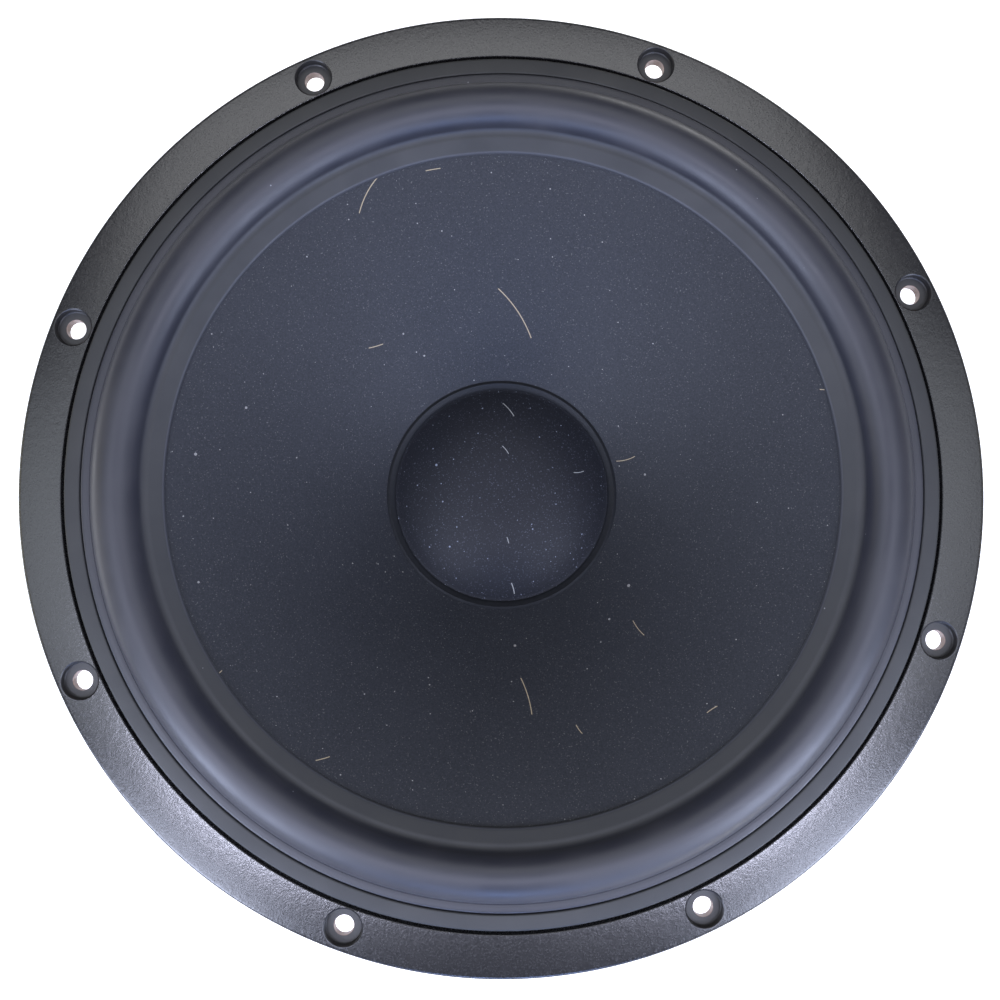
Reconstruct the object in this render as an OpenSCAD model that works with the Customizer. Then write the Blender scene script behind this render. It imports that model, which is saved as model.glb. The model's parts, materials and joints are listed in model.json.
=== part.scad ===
// Twelve inch car subwoofer driver: cast basket, half-roll surround, paper cone and a
// double-magnet vented motor. Millimetres. +Z is the listening side. The origin is the
// centre of the bolt circle, in the plane where the flange meets the baffle.

/* [Flange] */
// Outside diameter of the mounting flange
flange_d = 310; // [250:1:380]
// Thickness of the mounting flange
flange_t = 8; // [6.5:0.5:12]
// From the rim to the centre of a mounting hole
bolt_inset = 7.4; // [7:0.1:8]
// Number of mounting holes
bolt_n = 8; // [4:1:12]
// Diameter of a mounting hole
bolt_d = 6.2; // [4:0.1:7]
// Diameter of the counterbore over a mounting hole
counterbore_d = 11.6; // [8:0.1:12]
// Depth of the counterbore
counterbore_depth = 3.9; // [2:0.1:4.5]
// Width of the flange's face, from the rim to the recess
face_w = 14; // [13.5:0.1:20]
// Width of the rear seat, from the rim to the spigot in the baffle
seat_w = 14.5; // [14:0.1:22]
// Height of the recess floor over the rear seat
recess_floor = 4; // [3:0.1:5]
// Rounding of the rim's front edge
rim_round = 1.2; // [0.4:0.1:2.5]
// How far the crowned face falls from the recess to the rim
face_crown = 0.6; // [0:0.1:1.2]

/* [Trim ring and surround] */
// Open gap between the recess wall and the trim ring
ring_gap = 1.4; // [0.6:0.1:2.5]
// Width of the trim ring
ring_w = 5.2; // [3:0.1:8]
// How far the trim ring stands above the flange
ring_proud = 1.9; // [0:0.1:3]
// Open line between the trim ring and the surround
ring_line = 0.4; // [0.2:0.1:1]
// Width of the surround's outer shoulder
shoulder_w = 3.1; // [2:0.1:5]
// Width of the half roll, foot to foot
roll_w = 15.8; // [10:0.1:24]
// Height of the half roll over its feet
roll_h = 7.2; // [4:0.1:12]
// Width of the inner lip that is glued to the cone
lip_w = 6.8; // [4.5:0.1:9]
// Thickness of the rubber
rubber_t = 1.2; // [0.8:0.1:2]

/* [Cone and dust cap] */
// Depth of the cone from its edge to its neck
cone_depth = 51.4; // [35:0.1:75]
// How far the cone bows towards the front at its middle
cone_flare = 3.6; // [0:0.1:6]
// Thickness of the cone
cone_t = 1.4; // [0.8:0.1:2.5]
// Diameter of the dust cap's dome
cap_d = 75.6; // [72:0.1:100]
// Height of the dome
cap_h = 11; // [5:0.1:18]
// Thickness of the dust cap
cap_t = 0.8; // [0.5:0.1:1.5]
// Width of the adhesive bead around the dust cap
bead_w = 3.1; // [2:0.1:5]

/* [Voice coil] */
// Inside diameter of the coil former
coil_d = 65; // [50:0.1:68]
// Wall of the coil former
former_t = 0.4; // [0.2:0.05:0.8]
// Thickness of the copper winding
winding_t = 1.4; // [0.8:0.1:2.5]
// Travel of the cone each way from rest
travel = 12; // [5:0.5:16]

/* [Spider] */
// Distance of the spider behind the cone's neck
spider_drop = 13.9; // [9:0.1:20]
// Thickness of the spider's cloth
spider_t = 0.7; // [0.5:0.1:1.2]
// Height of a corrugation over the middle plane
ripple_h = 2.2; // [1:0.1:3.5]
// Number of corrugations
ripple_n = 5; // [3:1:7]
// Width of the corrugated band
ripple_band = 40; // [30:1:50]
// Width of the flat edge that is glued to the shelf
spider_edge = 8; // [5:0.5:10]

/* [Basket] */
// Number of legs
leg_n = 6; // [4:2:8]
// Width of a leg at the motor
leg_w = 15; // [10:0.5:22]
// Width of a leg at the flange
leg_top_w = 25; // [12:0.5:36]
// Width of the rib on a leg's back
rib_w = 5; // [3:0.5:8]
// How far the rib stands off the leg
rib_h = 6; // [3:0.5:9]
// Thickness of the skirt in the baffle
skirt_t = 4; // [3:0.1:6]
// Depth of the skirt behind the rear seat
skirt_h = 12; // [8:0.5:20]
// Thickness of the basket's base
base_t = 5; // [4:0.5:8]
// Thickness of the shelf that carries the spider
shelf_t = 4; // [3:0.5:7]
// Free space under the spider at full travel
under_spider = 3.8; // [2:0.1:8]

/* [Motor] */
// Thickness of the front plate
plate_t = 8; // [6:0.5:12]
// Diameter of the front plate and of the yoke
plate_d = 150; // [140:1:180]
// How far the magnets stand out past the plates
magnet_step = 3; // [1:0.5:5]
// Radial space between the winding and the front plate
gap_out = 0.7; // [0.4:0.05:1.2]
// Radial space between the former and the pole
gap_in = 0.5; // [0.3:0.05:1]
// Radial space between the winding and the magnets
magnet_space = 7.7; // [4:0.1:12]
// Free space under the coil at full travel
under_coil = 6; // [3:0.5:10]
// Height of the aluminium shorting ring
short_h = 6; // [3:0.5:10]
// Thickness of the yoke's back plate
back_t = 8; // [6:0.5:14]
// How far the pole stands in front of the front plate
pole_ext = 3; // [0:0.5:6]
// Diameter of the vent through the pole
vent_d = 22; // [12:0.5:30]
// Wall of the rubber boot
boot_t = 2.6; // [1.5:0.1:4]
// Thickness of the boot's floor
boot_floor = 3; // [2:0.1:5]
// Diameter of the opening in the boot's floor
boot_hole_d = 54; // [44:1:70]
// Number of motor screws
screw_n = 6; // [4:2:8]
// Thread diameter of a motor screw
screw_d = 5; // [4:0.5:6]

/* [Terminals] */
// Distance between the two terminals
post_pitch = 18; // [15:0.5:22]
// Diameter of a push button's stem
stem_d = 9.2; // [7:0.1:10]
// Diameter of a push button's cap
button_d = 7.8; // [5:0.1:8]
// Travel of a push button
press = 4; // [2:0.5:5]
// Diameter of the hole for the speaker wire
wire_d = 3.4; // [2:0.1:4]
// Width of the terminal block
block_w = 40; // [36:0.5:50]
// Height of the terminal block
block_h = 20; // [16:0.5:26]
// Thickness of the braided leads
lead_d = 2.2; // [1.5:0.1:3]

/* [Hidden] */
$fn = 96;
eps = 0.01;

fit = 0.1;           // clearance of a part that drops into its seat
loose = 0.3;         // clearance of a part that slides
glue = 0.25;         // thickness of a glue line
chamfer = 0.4;       // broken edge on the castings
cone_inset = 1.5;    // from the roll's inner foot to the cone's edge
cap_foot = 1.5;      // width of the dust cap's glued foot
former_skirt = 1.5;  // bare end of the former behind the winding
ledge_step = 0.7;    // the recess floor's inner edge stays this far outside the roll
foot_rise = 0.5;     // height of the roll's feet over the trim ring
shelf_lap = 1.5;     // bare cloth between the corrugations and the shelf
shelf_out = 2;       // how far the shelf stands out past the spider
spider_foot = 5;     // flat collar of the spider around the former
vent_flare = 5;      // how far the vent widens at the back
vent_flare_h = 6;    // height of that widening
base_rim = 7;        // how far the basket's base stands out past the front plate
base_hole = 12;      // from the magnetic gap to the base's opening
leg_reach = 8;       // depth of a leg, at the flange and at the base
leg_knee = 12;       // from the shelf out to a leg's knee
knee_drop = 3;       // how far the knee lies behind the shelf
leg_toe = 2;         // how far a leg's foot stands out past the base
magnet_chip = 1;     // broken edge on magnets, yoke and pole
boot_round = 2;      // broken edge around the boot's floor
boot_lap = 2;        // how far the boot reaches over the front plate
stem_wall = 1;       // wall of the button on each side of its wire hole
pad_t = 4;           // thickness of the pad behind the terminal block
pad_gap = 2;         // from the spider's shelf to the pad
block_rise = 6;      // how far the block stands in front of the spider
spring_seat = 3;     // wall between the pad and the spring's bore
spring_solid = 1.3;  // length of the spring when its turns touch, less the travel
screw_grip = 6;      // how deep the terminal block's screws bite
cover_t = 2;         // thickness of the terminal cover
small_head_d = 4.6;  // head of the terminal block's screws
cover_inset = 3.4;   // from the block's end to a screw
tab_w = 5;           // width of a solder tab
tab_t = 0.8;         // thickness of a contact
tab_rise = 8;        // how far a solder tab stands over the block
tab_hole_drop = 2.2; // from the top of a solder tab to its hole
lead_rise = 30;      // how strongly a braided lead climbs away from its tab
lead_droop = 30;     // how strongly it hangs away from the cone
pin_d = 3;           // pin of the plunger inside the button's cap
cap_out = 4;         // how far a button stands out when it is pressed home

// Radii, from the rim inwards
flange_r = flange_d / 2;
bolt_r = flange_r - bolt_inset;
recess_r = flange_r - face_w;
spigot_r = flange_r - seat_w;
ring_ro = recess_r - ring_gap;
ring_ri = ring_ro - ring_w;
shoulder_r = ring_ri - ring_line;
roll_ro = shoulder_r - shoulder_w;
roll_ri = roll_ro - roll_w;
lip_ri = roll_ri - lip_w;
cone_r = roll_ri - cone_inset;
ledge_r = roll_ro + ledge_step;
former_ri = coil_d / 2;
former_ro = former_ri + former_t;
neck_r = former_ro + glue;
coil_ro = former_ro + winding_t;
ripple_r0 = neck_r + spider_foot;
ripple_r1 = ripple_r0 + ripple_band;
spider_r = ripple_r1 + spider_edge;
shelf_ri = ripple_r1 + shelf_lap;
shelf_ro = spider_r + shelf_out;
gap_r = coil_ro + gap_out;
pole_r = former_ri - gap_in;
plate_r = plate_d / 2;
magnet_ro = plate_r + magnet_step;
magnet_ri = coil_ro + magnet_space;
boot_ri = magnet_ro + loose;
boot_ro = boot_ri + boot_t;
base_ri = gap_r + base_hole;
base_ro = plate_r + base_rim;
screw_r = (base_ri + plate_r) / 2;

// Heights, from the front backwards
ring_top = flange_t + ring_proud;
foot_z = ring_top + foot_rise;
edge_z = foot_z - rubber_t + 0.1;
neck_z = edge_z - cone_depth;
spider_z = neck_z - spider_drop;
base_top = spider_z - travel - ripple_h - under_spider;
plate_top = base_top - base_t;
plate_bot = plate_top - plate_t;
gap_z = (plate_top + plate_bot) / 2;
winding_l = plate_t + 2 * travel;
coil_bot = gap_z - winding_l / 2;
former_bot = coil_bot - former_skirt;
back_top = coil_bot - travel - under_coil - short_h;
magnet_t = (plate_bot - back_top) / 2;
back_bot = back_top - back_t;
boot_bot = back_bot - boot_floor;
pole_top = plate_top + pole_ext;
cap_r = cap_d / 2;
bead_r = cap_r + bead_w;

// Terminal block, on the pad behind the -Y window. Its depth is measured out from the axis
pad_y = shelf_ro + pad_gap + pad_t;
block_top = spider_z + block_rise;
block_bot = block_top - block_h;
post_z = (block_top + block_bot) / 2;
bore_r = stem_d / 2 + loose;
seat_y = pad_y + spring_seat;
spring_l = 2 * press + spring_solid;
stem_l = press + wire_d + 2 * stem_wall;
stem_y = seat_y + spring_l + fit;
face_y = stem_y + stem_l + fit;
wire_y = stem_y + stem_wall + wire_d / 2;
button_l = cover_t + press + cap_out;   // from the plunger's shoulder to the button's tip
cover_x = block_w / 2 - cover_inset;
tab_top = block_top + tab_rise;

// The cone's front face as straight steps along a shallow bow, and its height at radius r
cone_radii = [for (i = [0 : 18]) neck_r + (cone_r - neck_r) * i / 18];
cone_line = [for (r = cone_radii) let (t = (r - neck_r) / (cone_r - neck_r))
    [r, neck_z + cone_depth * t + 4 * cone_flare * t * (1 - t)]];
function cone_z(r) = lookup(r, cone_line);

// Height of the flange's crowned face at radius r
function face_z(r) = flange_t - face_crown * pow((r - recess_r) / face_w, 2);

// Points on an arc about [x, y], radii a across and b up, from angle p to angle q
function arc(x, y, a, b, p, q, n = 16) =
    [for (i = [0 : n]) let (w = p + (q - p) * i / n) [x + a * cos(w), y + b * sin(w)]];

// Radii in equal steps
function steps(from, to, n) = [for (i = [0 : n]) from + (to - from) * i / n];

function reversed(list) = [for (i = [len(list) - 1 : -1 : 0]) list[i]];

module revolve(points) rotate_extrude() polygon(points);

module tube(ro, ri, z0, z1) {
    difference() {
        translate([0, 0, z0]) cylinder(r = ro, h = z1 - z0);
        translate([0, 0, z0 - 1]) cylinder(r = ri, h = z1 - z0 + 2);
    }
}

module around(n, start = 0) {
    for (i = [0 : n - 1]) rotate([0, 0, start + 360 * i / n]) children();
}

// A cylinder that runs along +Y from y0 to y1, turned towards -Y by at_block()
module rod(r, y0, y1) translate([0, y0, 0]) rotate([-90, 0, 0]) cylinder(r = r, h = y1 - y0);

// Puts a shape that is drawn outwards along +Y onto the -Y side of the basket
module at_block(x = 0, z = 0) rotate([0, 0, 180]) translate([-x, 0, z]) children();

// ---- Basket -----------------------------------------------------------------

module flange_profile() {
    polygon(concat(
        [[ledge_r, 0], [ledge_r, recess_floor], [recess_r, recess_floor],
         [recess_r, flange_t - chamfer]],
        [for (r = steps(recess_r + chamfer, flange_r - rim_round - chamfer, 7)) [r, face_z(r)]],
        reversed(arc(flange_r - rim_round, face_z(flange_r - rim_round) - rim_round,
                     rim_round, rim_round, 0, 90, 6)),
        [[flange_r, chamfer], [flange_r - chamfer, 0], [spigot_r, 0],
         [spigot_r, -skirt_h + chamfer], [spigot_r - chamfer, -skirt_h],
         [spigot_r - skirt_t, -skirt_h], [spigot_r - skirt_t, 0]]
    ));
}

module bolt_hole() {
    floor_z = flange_t - counterbore_depth;
    translate([bolt_r, 0, -1]) cylinder(d = bolt_d, h = flange_t + 2);
    translate([bolt_r, 0, floor_z]) cylinder(d = counterbore_d, h = counterbore_depth + 1);
    translate([bolt_r, 0, face_z(bolt_r) - chamfer])
        cylinder(d1 = counterbore_d, d2 = counterbore_d + 6 * chamfer, h = 3 * chamfer);
}

// One leg, drawn in the radius-height plane, turned upright and tapered towards the motor
module leg() {
    top_out = spigot_r - loose;
    top_in = spigot_r - leg_reach;
    low_out = base_ro + leg_toe;
    low_in = base_ro - leg_reach;
    knee_out = shelf_ro + leg_knee;
    knee_z = spider_z - shelf_t - knee_drop;
    outline = [
        [top_out, 1], [top_out, -skirt_h + 1], [knee_out, knee_z],
        [low_out, plate_top + knee_drop], [low_out - knee_drop, plate_top],
        [low_in, plate_top], [low_in, base_top],
        [shelf_ro - 1, spider_z - shelf_t], [shelf_ro - 1, spider_z],
        [shelf_ro + 3, spider_z], [top_in, -skirt_h + 3], [top_in, 1]
    ];
    rib = [
        [top_in, -skirt_h + 3], [top_out, -skirt_h + 2], [knee_out + rib_h, knee_z + 3],
        [low_out + rib_h / 2, plate_top + 4], [low_out, plate_top], [low_in, plate_top],
        [low_in, base_top], [shelf_ro + 3, spider_z]
    ];
    taper = [
        [low_in - 1, -leg_w / 2], [low_out, -leg_w / 2], [spigot_r, -leg_top_w / 2],
        [spigot_r, leg_top_w / 2], [low_out, leg_w / 2], [low_in - 1, leg_w / 2]
    ];
    intersection() {
        rotate([90, 0, 0]) translate([0, 0, -leg_top_w / 2])
            linear_extrude(leg_top_w) polygon(outline);
        translate([0, 0, plate_top - 1])
            linear_extrude(flange_t - plate_top) polygon(taper);
    }
    rotate([90, 0, 0]) translate([0, 0, -rib_w / 2]) linear_extrude(rib_w) polygon(rib);
}

module terminal_pad() {
    at_block() translate([-block_w / 2 - 2, pad_y - pad_t, block_bot - 1])
        cube([block_w + 4, pad_t, block_h + 2]);
    bridge_w = 2 * (cover_x - small_head_d);
    at_block() translate([-bridge_w / 2, shelf_ro - 4, spider_z - shelf_t])
        cube([bridge_w, pad_y - shelf_ro + 2, shelf_t]);
}

module basket() {
    color([0.07, 0.07, 0.075]) difference() {
        union() {
            rotate_extrude() flange_profile();
            around(leg_n) leg();
            tube(shelf_ro, shelf_ri, spider_z - shelf_t, spider_z);
            tube(base_ro, base_ri, plate_top, base_top);
            terminal_pad();
        }
        around(bolt_n, 180 / bolt_n) bolt_hole();
        around(screw_n, 180 / screw_n)
            translate([screw_r, 0, plate_top - 1]) cylinder(d = screw_d + 0.5, h = base_t + 2);
        at_block(0, post_z) for (x = [-cover_x, cover_x])
            translate([x, 0, 0]) rod(1.6, pad_y - pad_t - 1, pad_y + 1);
    }
}

// ---- Trim ring and surround ---------------------------------------------------

module trim_ring() {
    low = recess_floor + rubber_t + glue;
    color([0.08, 0.08, 0.085]) revolve([
        [ring_ri, low], [ring_ro, low], [ring_ro, ring_top - chamfer],
        [ring_ro - chamfer, ring_top], [ring_ri + chamfer, ring_top],
        [ring_ri, ring_top - chamfer]
    ]);
}

module surround() {
    mid = (roll_ro + roll_ri) / 2;
    half = roll_w / 2;
    seat = recess_floor + glue / 2;
    under = foot_z - rubber_t;
    lip = [for (r = steps(lip_ri, cone_r + 0.3, 4)) [r, cone_z(r)]];
    color([0.06, 0.06, 0.065]) revolve(concat(
        [[ring_ro - 0.2, seat], [ring_ro - 0.2, seat + rubber_t],
         [shoulder_r, seat + rubber_t], [shoulder_r, foot_z - 0.2],
         [roll_ro + 0.3, foot_z + 0.3], [roll_ro, foot_z - 0.1]],
        arc(mid, foot_z, half - 0.1, roll_h, 0, 180, 20),
        [[roll_ri - 0.6, foot_z + 0.5], [roll_ri - 1.3, foot_z + 0.4],
         [lip_ri, cone_z(lip_ri) + rubber_t + glue]],
        [for (p = lip) p + [0, glue]],
        [[roll_ri - 0.3, under], [roll_ri + rubber_t, under]],
        reversed(arc(mid, under, half - rubber_t, roll_h, 0, 180, 20)),
        [[roll_ro - rubber_t + 0.2, under - 0.6], [ledge_r + 0.4, under - 0.6],
         [ledge_r + 0.4, seat]]
    ));
}

// ---- Moving assembly ----------------------------------------------------------

module cone() {
    color([0.10, 0.11, 0.13]) revolve(concat(
        cone_line, [for (p = reversed(cone_line)) p - [0, cone_t]]
    ));
}

module dust_cap() {
    foot = glue + cap_t;
    rim_z = cone_z(cap_r) + foot;
    dome_r = (cap_r * cap_r + cap_h * cap_h) / (2 * cap_h);
    centre_z = rim_z + cap_h - dome_r;
    half = asin(cap_r / dome_r);
    inner = dome_r - cap_t;
    out = cap_r + cap_foot;
    in = cap_r - cap_t;
    color([0.09, 0.09, 0.11]) revolve(concat(
        arc(0, centre_z, dome_r, dome_r, 90, 90 - half, 14),
        [[out, cone_z(out) + foot], [out, cone_z(out) + glue], [in, cone_z(in) + glue]],
        reversed(arc(0, centre_z, inner, inner, 90, 90 - half + 0.8, 14))
    ));
}

module cap_bead() {
    foot = glue + cap_t + 0.05;
    low = 0.05;
    out = cap_r + cap_foot;
    crown = 0.9;
    color([0.05, 0.05, 0.055]) revolve([
        [cap_r, cone_z(cap_r) + foot], [cap_r + 0.2, cone_z(cap_r) + foot + 0.5],
        [cap_r + 0.8, cone_z(cap_r + 0.8) + foot + crown / 2],
        [out, cone_z(out) + foot + crown / 2], [bead_r - 0.8, cone_z(bead_r) + crown / 2],
        [bead_r, cone_z(bead_r) + low], [out + 0.05, cone_z(out) + low],
        [out + 0.05, cone_z(out) + foot]
    ]);
}

module coil_former() {
    color([0.75, 0.62, 0.30]) tube(former_ro, former_ri, former_bot, neck_z + 1);
}

module coil_winding() {
    color([0.72, 0.42, 0.22]) tube(coil_ro, former_ro, coil_bot, coil_bot + winding_l);
}

module neck_glue() {
    back = neck_z - cone_t;
    out = cone_radii[1];
    color([0.62, 0.55, 0.42]) revolve([
        [former_ro, back - 4], [former_ro + 0.6, back - 3.4], [neck_r + 1.2, back - 1.4],
        [out, cone_z(out) - cone_t], [neck_r, back], [neck_r, neck_z],
        [former_ro, neck_z + 0.8]
    ]);
}

// A round lead swept through points p, with s sides
module sweep(p, r, s = 8) {
    n = len(p);
    function unit(v) = v / norm(v);
    function tangent(i) = unit(p[min(i + 1, n - 1)] - p[max(i - 1, 0)]);
    function side(t) = unit(cross(t, [1, 0.02, 0]));
    rings = [for (i = [0 : n - 1]) let (t = tangent(i), a = side(t), b = cross(t, a))
        for (k = [0 : s - 1]) p[i] + r * (a * cos(360 * k / s) + b * sin(360 * k / s))];
    walls = [for (i = [0 : n - 2], k = [0 : s - 1])
        let (a = i * s + k, b = i * s + (k + 1) % s) each [[a, a + s, b], [b, a + s, b + s]]];
    ends = [[for (k = [0 : s - 1]) k], [for (k = [s - 1 : -1 : 0]) (n - 1) * s + k]];
    polyhedron(points = rings, faces = concat(walls, ends));
}

// Where the braided leads meet the back of the cone, measured out from the axis
pad_r = 62;
pad_x = post_pitch / 2;
lead_pad_d = 6;
lead_pad_t = 1.4;
coil_lead_d = 1;

// Height of the cone's back, and its slope, above and below the leads' own line
function back_z(y) = cone_z(norm([pad_x, y])) - cone_t;
function back_slope(y) = atan((back_z(y + 0.5) - back_z(y - 0.5)) / 1);

module lead_pads() {
    color([0.55, 0.5, 0.42]) for (x = [-pad_x, pad_x])
        at_block(x) translate([0, pad_r, back_z(pad_r)]) rotate([back_slope(pad_r), 0, 0])
            translate([0, 0, -glue - lead_pad_t]) cylinder(d = lead_pad_d, h = lead_pad_t);
}

module coil_leads() {
    from = cone_radii[1] + fit;
    to = pad_r - lead_pad_d / 2 - 2 * fit;
    drop = coil_lead_d / 2 + fit;
    color([0.65, 0.36, 0.2]) for (x = [-pad_x, pad_x]) at_block(x) sweep(
        [for (y = steps(from, to, 8)) [0, y, back_z(y) - drop / cos(back_slope(y))]],
        coil_lead_d / 2, 6);
}

// ---- Spider ---------------------------------------------------------------------

function ripple(r) =
    (r < ripple_r0 || r > ripple_r1) ? 0
    : ripple_h * sin(360 * ripple_n * (r - ripple_r0) / ripple_band);

module spider() {
    band = steps(ripple_r0, ripple_r1, 10 * ripple_n);
    radii = concat([neck_r + fit], band, [spider_r]);
    mid = spider_z + spider_t / 2 + glue / 2;
    color([0.55, 0.42, 0.22]) revolve(concat(
        [for (r = radii) [r, mid + ripple(r) + spider_t / 2]],
        [for (r = reversed(radii)) [r, mid + ripple(r) - spider_t / 2]]
    ));
}

// ---- Motor ------------------------------------------------------------------------

module front_plate() {
    color([0.5, 0.5, 0.52]) difference() {
        tube(plate_r, gap_r, plate_bot, plate_top);
        around(screw_n, 180 / screw_n)
            translate([screw_r, 0, plate_bot + 0.8]) cylinder(d = screw_d + 0.2, h = plate_t);
    }
}

module magnet(z) {
    color([0.13, 0.13, 0.14]) revolve([
        [magnet_ri, z], [magnet_ro - magnet_chip, z], [magnet_ro, z + magnet_chip],
        [magnet_ro, z + magnet_t - magnet_chip], [magnet_ro - magnet_chip, z + magnet_t],
        [magnet_ri, z + magnet_t]
    ]);
}

module front_magnet() magnet(back_top + magnet_t);

module rear_magnet() magnet(back_top);

module yoke() {
    flare = vent_d / 2 + vent_flare;
    color([0.5, 0.5, 0.52]) revolve([
        [vent_d / 2, back_bot + vent_flare_h], [flare, back_bot],
        [plate_r - magnet_chip, back_bot], [plate_r, back_bot + magnet_chip],
        [plate_r, back_top], [pole_r, back_top], [pole_r, pole_top - magnet_chip],
        [pole_r - magnet_chip, pole_top], [vent_d / 2 + magnet_chip, pole_top],
        [vent_d / 2, pole_top - magnet_chip]
    ]);
}

module shorting_ring() {
    color([0.78, 0.78, 0.8])
        tube(magnet_ri - 0.8, pole_r + fit, back_top, back_top + short_h);
}

module magnet_boot() {
    top = plate_bot + boot_lap;
    hole_r = boot_hole_d / 2;
    color([0.05, 0.05, 0.05]) revolve([
        [hole_r, boot_bot], [boot_ro - boot_round, boot_bot], [boot_ro, boot_bot + boot_round],
        [boot_ro, top - boot_lap / 2], [boot_ro - boot_lap / 2, top], [boot_ri, top],
        [boot_ri, back_bot], [hole_r, back_bot]
    ]);
}

module vent_screen() {
    pitch = 3;
    hole_d = 2;
    rise = 1.5;
    screen_t = 0.8;
    screen_r = vent_d / 2 + vent_flare * (1 - (rise + screen_t) / vent_flare_h) - fit;
    color([0.3, 0.3, 0.3]) difference() {
        translate([0, 0, back_bot + rise]) cylinder(r = screen_r, h = screen_t);
        for (i = [-6 : 6], j = [-6 : 6]) {
            x = (i + j / 2) * pitch;
            y = j * pitch * sqrt(3) / 2;
            if (norm([x, y]) < screen_r - hole_d)
                translate([x, y, back_bot]) cylinder(d = hole_d, h = 3 * rise, $fn = 24);
        }
    }
}

module cap_screw(d, head_d, head_h, length) {
    difference() {
        union() {
            translate([0, 0, -length]) cylinder(d = d, h = length + eps);
            cylinder(d = head_d, h = head_h);
        }
        translate([0, 0, head_h / 2]) cylinder(d = d * 0.92, h = head_h, $fn = 6);
    }
}

module motor_screws() {
    color([0.1, 0.1, 0.1]) around(screw_n, 180 / screw_n) translate([screw_r, 0, base_top])
        cap_screw(screw_d, screw_d * 1.7, screw_d, base_t + plate_t - 1.2);
}

// ---- Terminals ----------------------------------------------------------------------

module terminal_block() {
    color([0.06, 0.06, 0.06]) at_block(0, post_z) difference() {
        translate([-block_w / 2, pad_y, -block_h / 2])
            cube([block_w, face_y - pad_y, block_h]);
        for (x = [-pad_x, pad_x]) translate([x, 0, 0]) {
            rod(bore_r, seat_y - tab_t, face_y + 1);
            translate([0, wire_y, -block_h / 2 - 1]) cylinder(d = wire_d, h = block_h + 2);
            translate([-tab_w / 2 - fit, seat_y - tab_t - fit, 0])
                cube([tab_w + 2 * fit, tab_t + 2 * fit, block_h]);
        }
        for (x = [-cover_x, cover_x]) translate([x, 0, 0]) {
            rod(1.35, pad_y - 1, pad_y + screw_grip + 1);
            rod(1.35, face_y - screw_grip - 1, face_y + 1);
        }
    }
}

module terminal_cover() {
    color([0.08, 0.08, 0.08]) at_block(0, post_z) difference() {
        translate([-block_w / 2, face_y, -block_h / 2]) cube([block_w, cover_t, block_h]);
        for (x = [-pad_x, pad_x])
            translate([x, 0, 0]) rod(button_d / 2 + loose, face_y - 1, face_y + cover_t + 1);
        for (x = [-cover_x, cover_x])
            translate([x, 0, 0]) rod(1.6, face_y - 1, face_y + cover_t + 1);
    }
}

// Small screws along the block's own depth: d thread, pointing inwards from y
module small_screw(y, length, way) {
    translate([0, y, 0]) rotate([-90 * way, 0, 0]) cap_screw(2.5, small_head_d, 1.6, length);
}

module cover_screws() {
    color([0.6, 0.6, 0.62]) at_block(0, post_z) for (x = [-cover_x, cover_x])
        translate([x, 0, 0]) small_screw(face_y + cover_t, cover_t + screw_grip, 1);
}

module block_screws() {
    color([0.6, 0.6, 0.62]) at_block(0, post_z) for (x = [-cover_x, cover_x])
        translate([x, 0, 0]) small_screw(pad_y - pad_t, pad_t + screw_grip, -1);
}

module contact(x) {
    color([0.8, 0.66, 0.3]) at_block(x, post_z) difference() {
        union() {
            rod(bore_r - 0.15, seat_y - tab_t, seat_y);
            translate([-tab_w / 2, seat_y - tab_t, 0])
                cube([tab_w, tab_t, tab_top - post_z]);
        }
        translate([0, 0, tab_top - post_z - tab_hole_drop]) rod(1, seat_y - 2, seat_y + 1);
    }
}

module plunger(x) {
    color([0.75, 0.75, 0.78]) at_block(x, post_z) difference() {
        union() {
            rod(stem_d / 2, stem_y, stem_y + stem_l);
            rod(pin_d / 2, stem_y + stem_l - eps, stem_y + stem_l + button_l - 2);
        }
        translate([0, wire_y + press, -stem_d]) cylinder(d = wire_d, h = 2 * stem_d);
    }
}

module button(x, tint) {
    foot = stem_y + stem_l + fit / 2;
    tip = foot + button_l;
    color(tint) at_block(x, post_z) difference() {
        union() {
            rod(button_d / 2, foot, tip - 0.6);
            translate([0, tip - 0.6 - eps, 0]) rotate([-90, 0, 0])
                cylinder(d1 = button_d, d2 = button_d - 1.2, h = 0.6 + eps);
        }
        rod(pin_d / 2 + fit / 2, foot - 1, stem_y + stem_l + button_l - 2 + fit);
    }
}

module spring(x) {
    turns = 5;
    wire = 0.35;
    coil_r = stem_d / 2 - 1.2;
    low = seat_y + wire + fit;
    high = stem_y - wire - fit;
    path = [for (i = [0 : 12 * turns]) let (a = 30 * i, t = i / (12 * turns))
        [coil_r * cos(a), low + (high - low) * t, coil_r * sin(a)]];
    color([0.7, 0.7, 0.72]) at_block(x, post_z) sweep(path, wire, 6);
}

// ---- Braided leads --------------------------------------------------------------------

// A point on a smooth curve that leaves a along u and arrives at b against v
function bezier(a, u, v, b, t) =
    a * pow(1 - t, 3) + 3 * (a + u) * t * pow(1 - t, 2)
    + 3 * (b + v) * t * t * (1 - t) + b * pow(t, 3);

module lead(x) {
    slope = back_slope(pad_r);
    out = [0, sin(slope), -cos(slope)];
    tab = [0, seat_y + lead_d / 2 + fit, tab_top - tab_hole_drop];
    pad = [0, pad_r, back_z(pad_r)] + out * (glue + lead_pad_t + fit);
    color([0.62, 0.5, 0.36]) at_block(x) sweep(
        [for (t = steps(0, 1, 20)) bezier(tab, [0, 3, lead_rise], out * lead_droop, pad, t)],
        lead_d / 2, 8);
}

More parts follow.
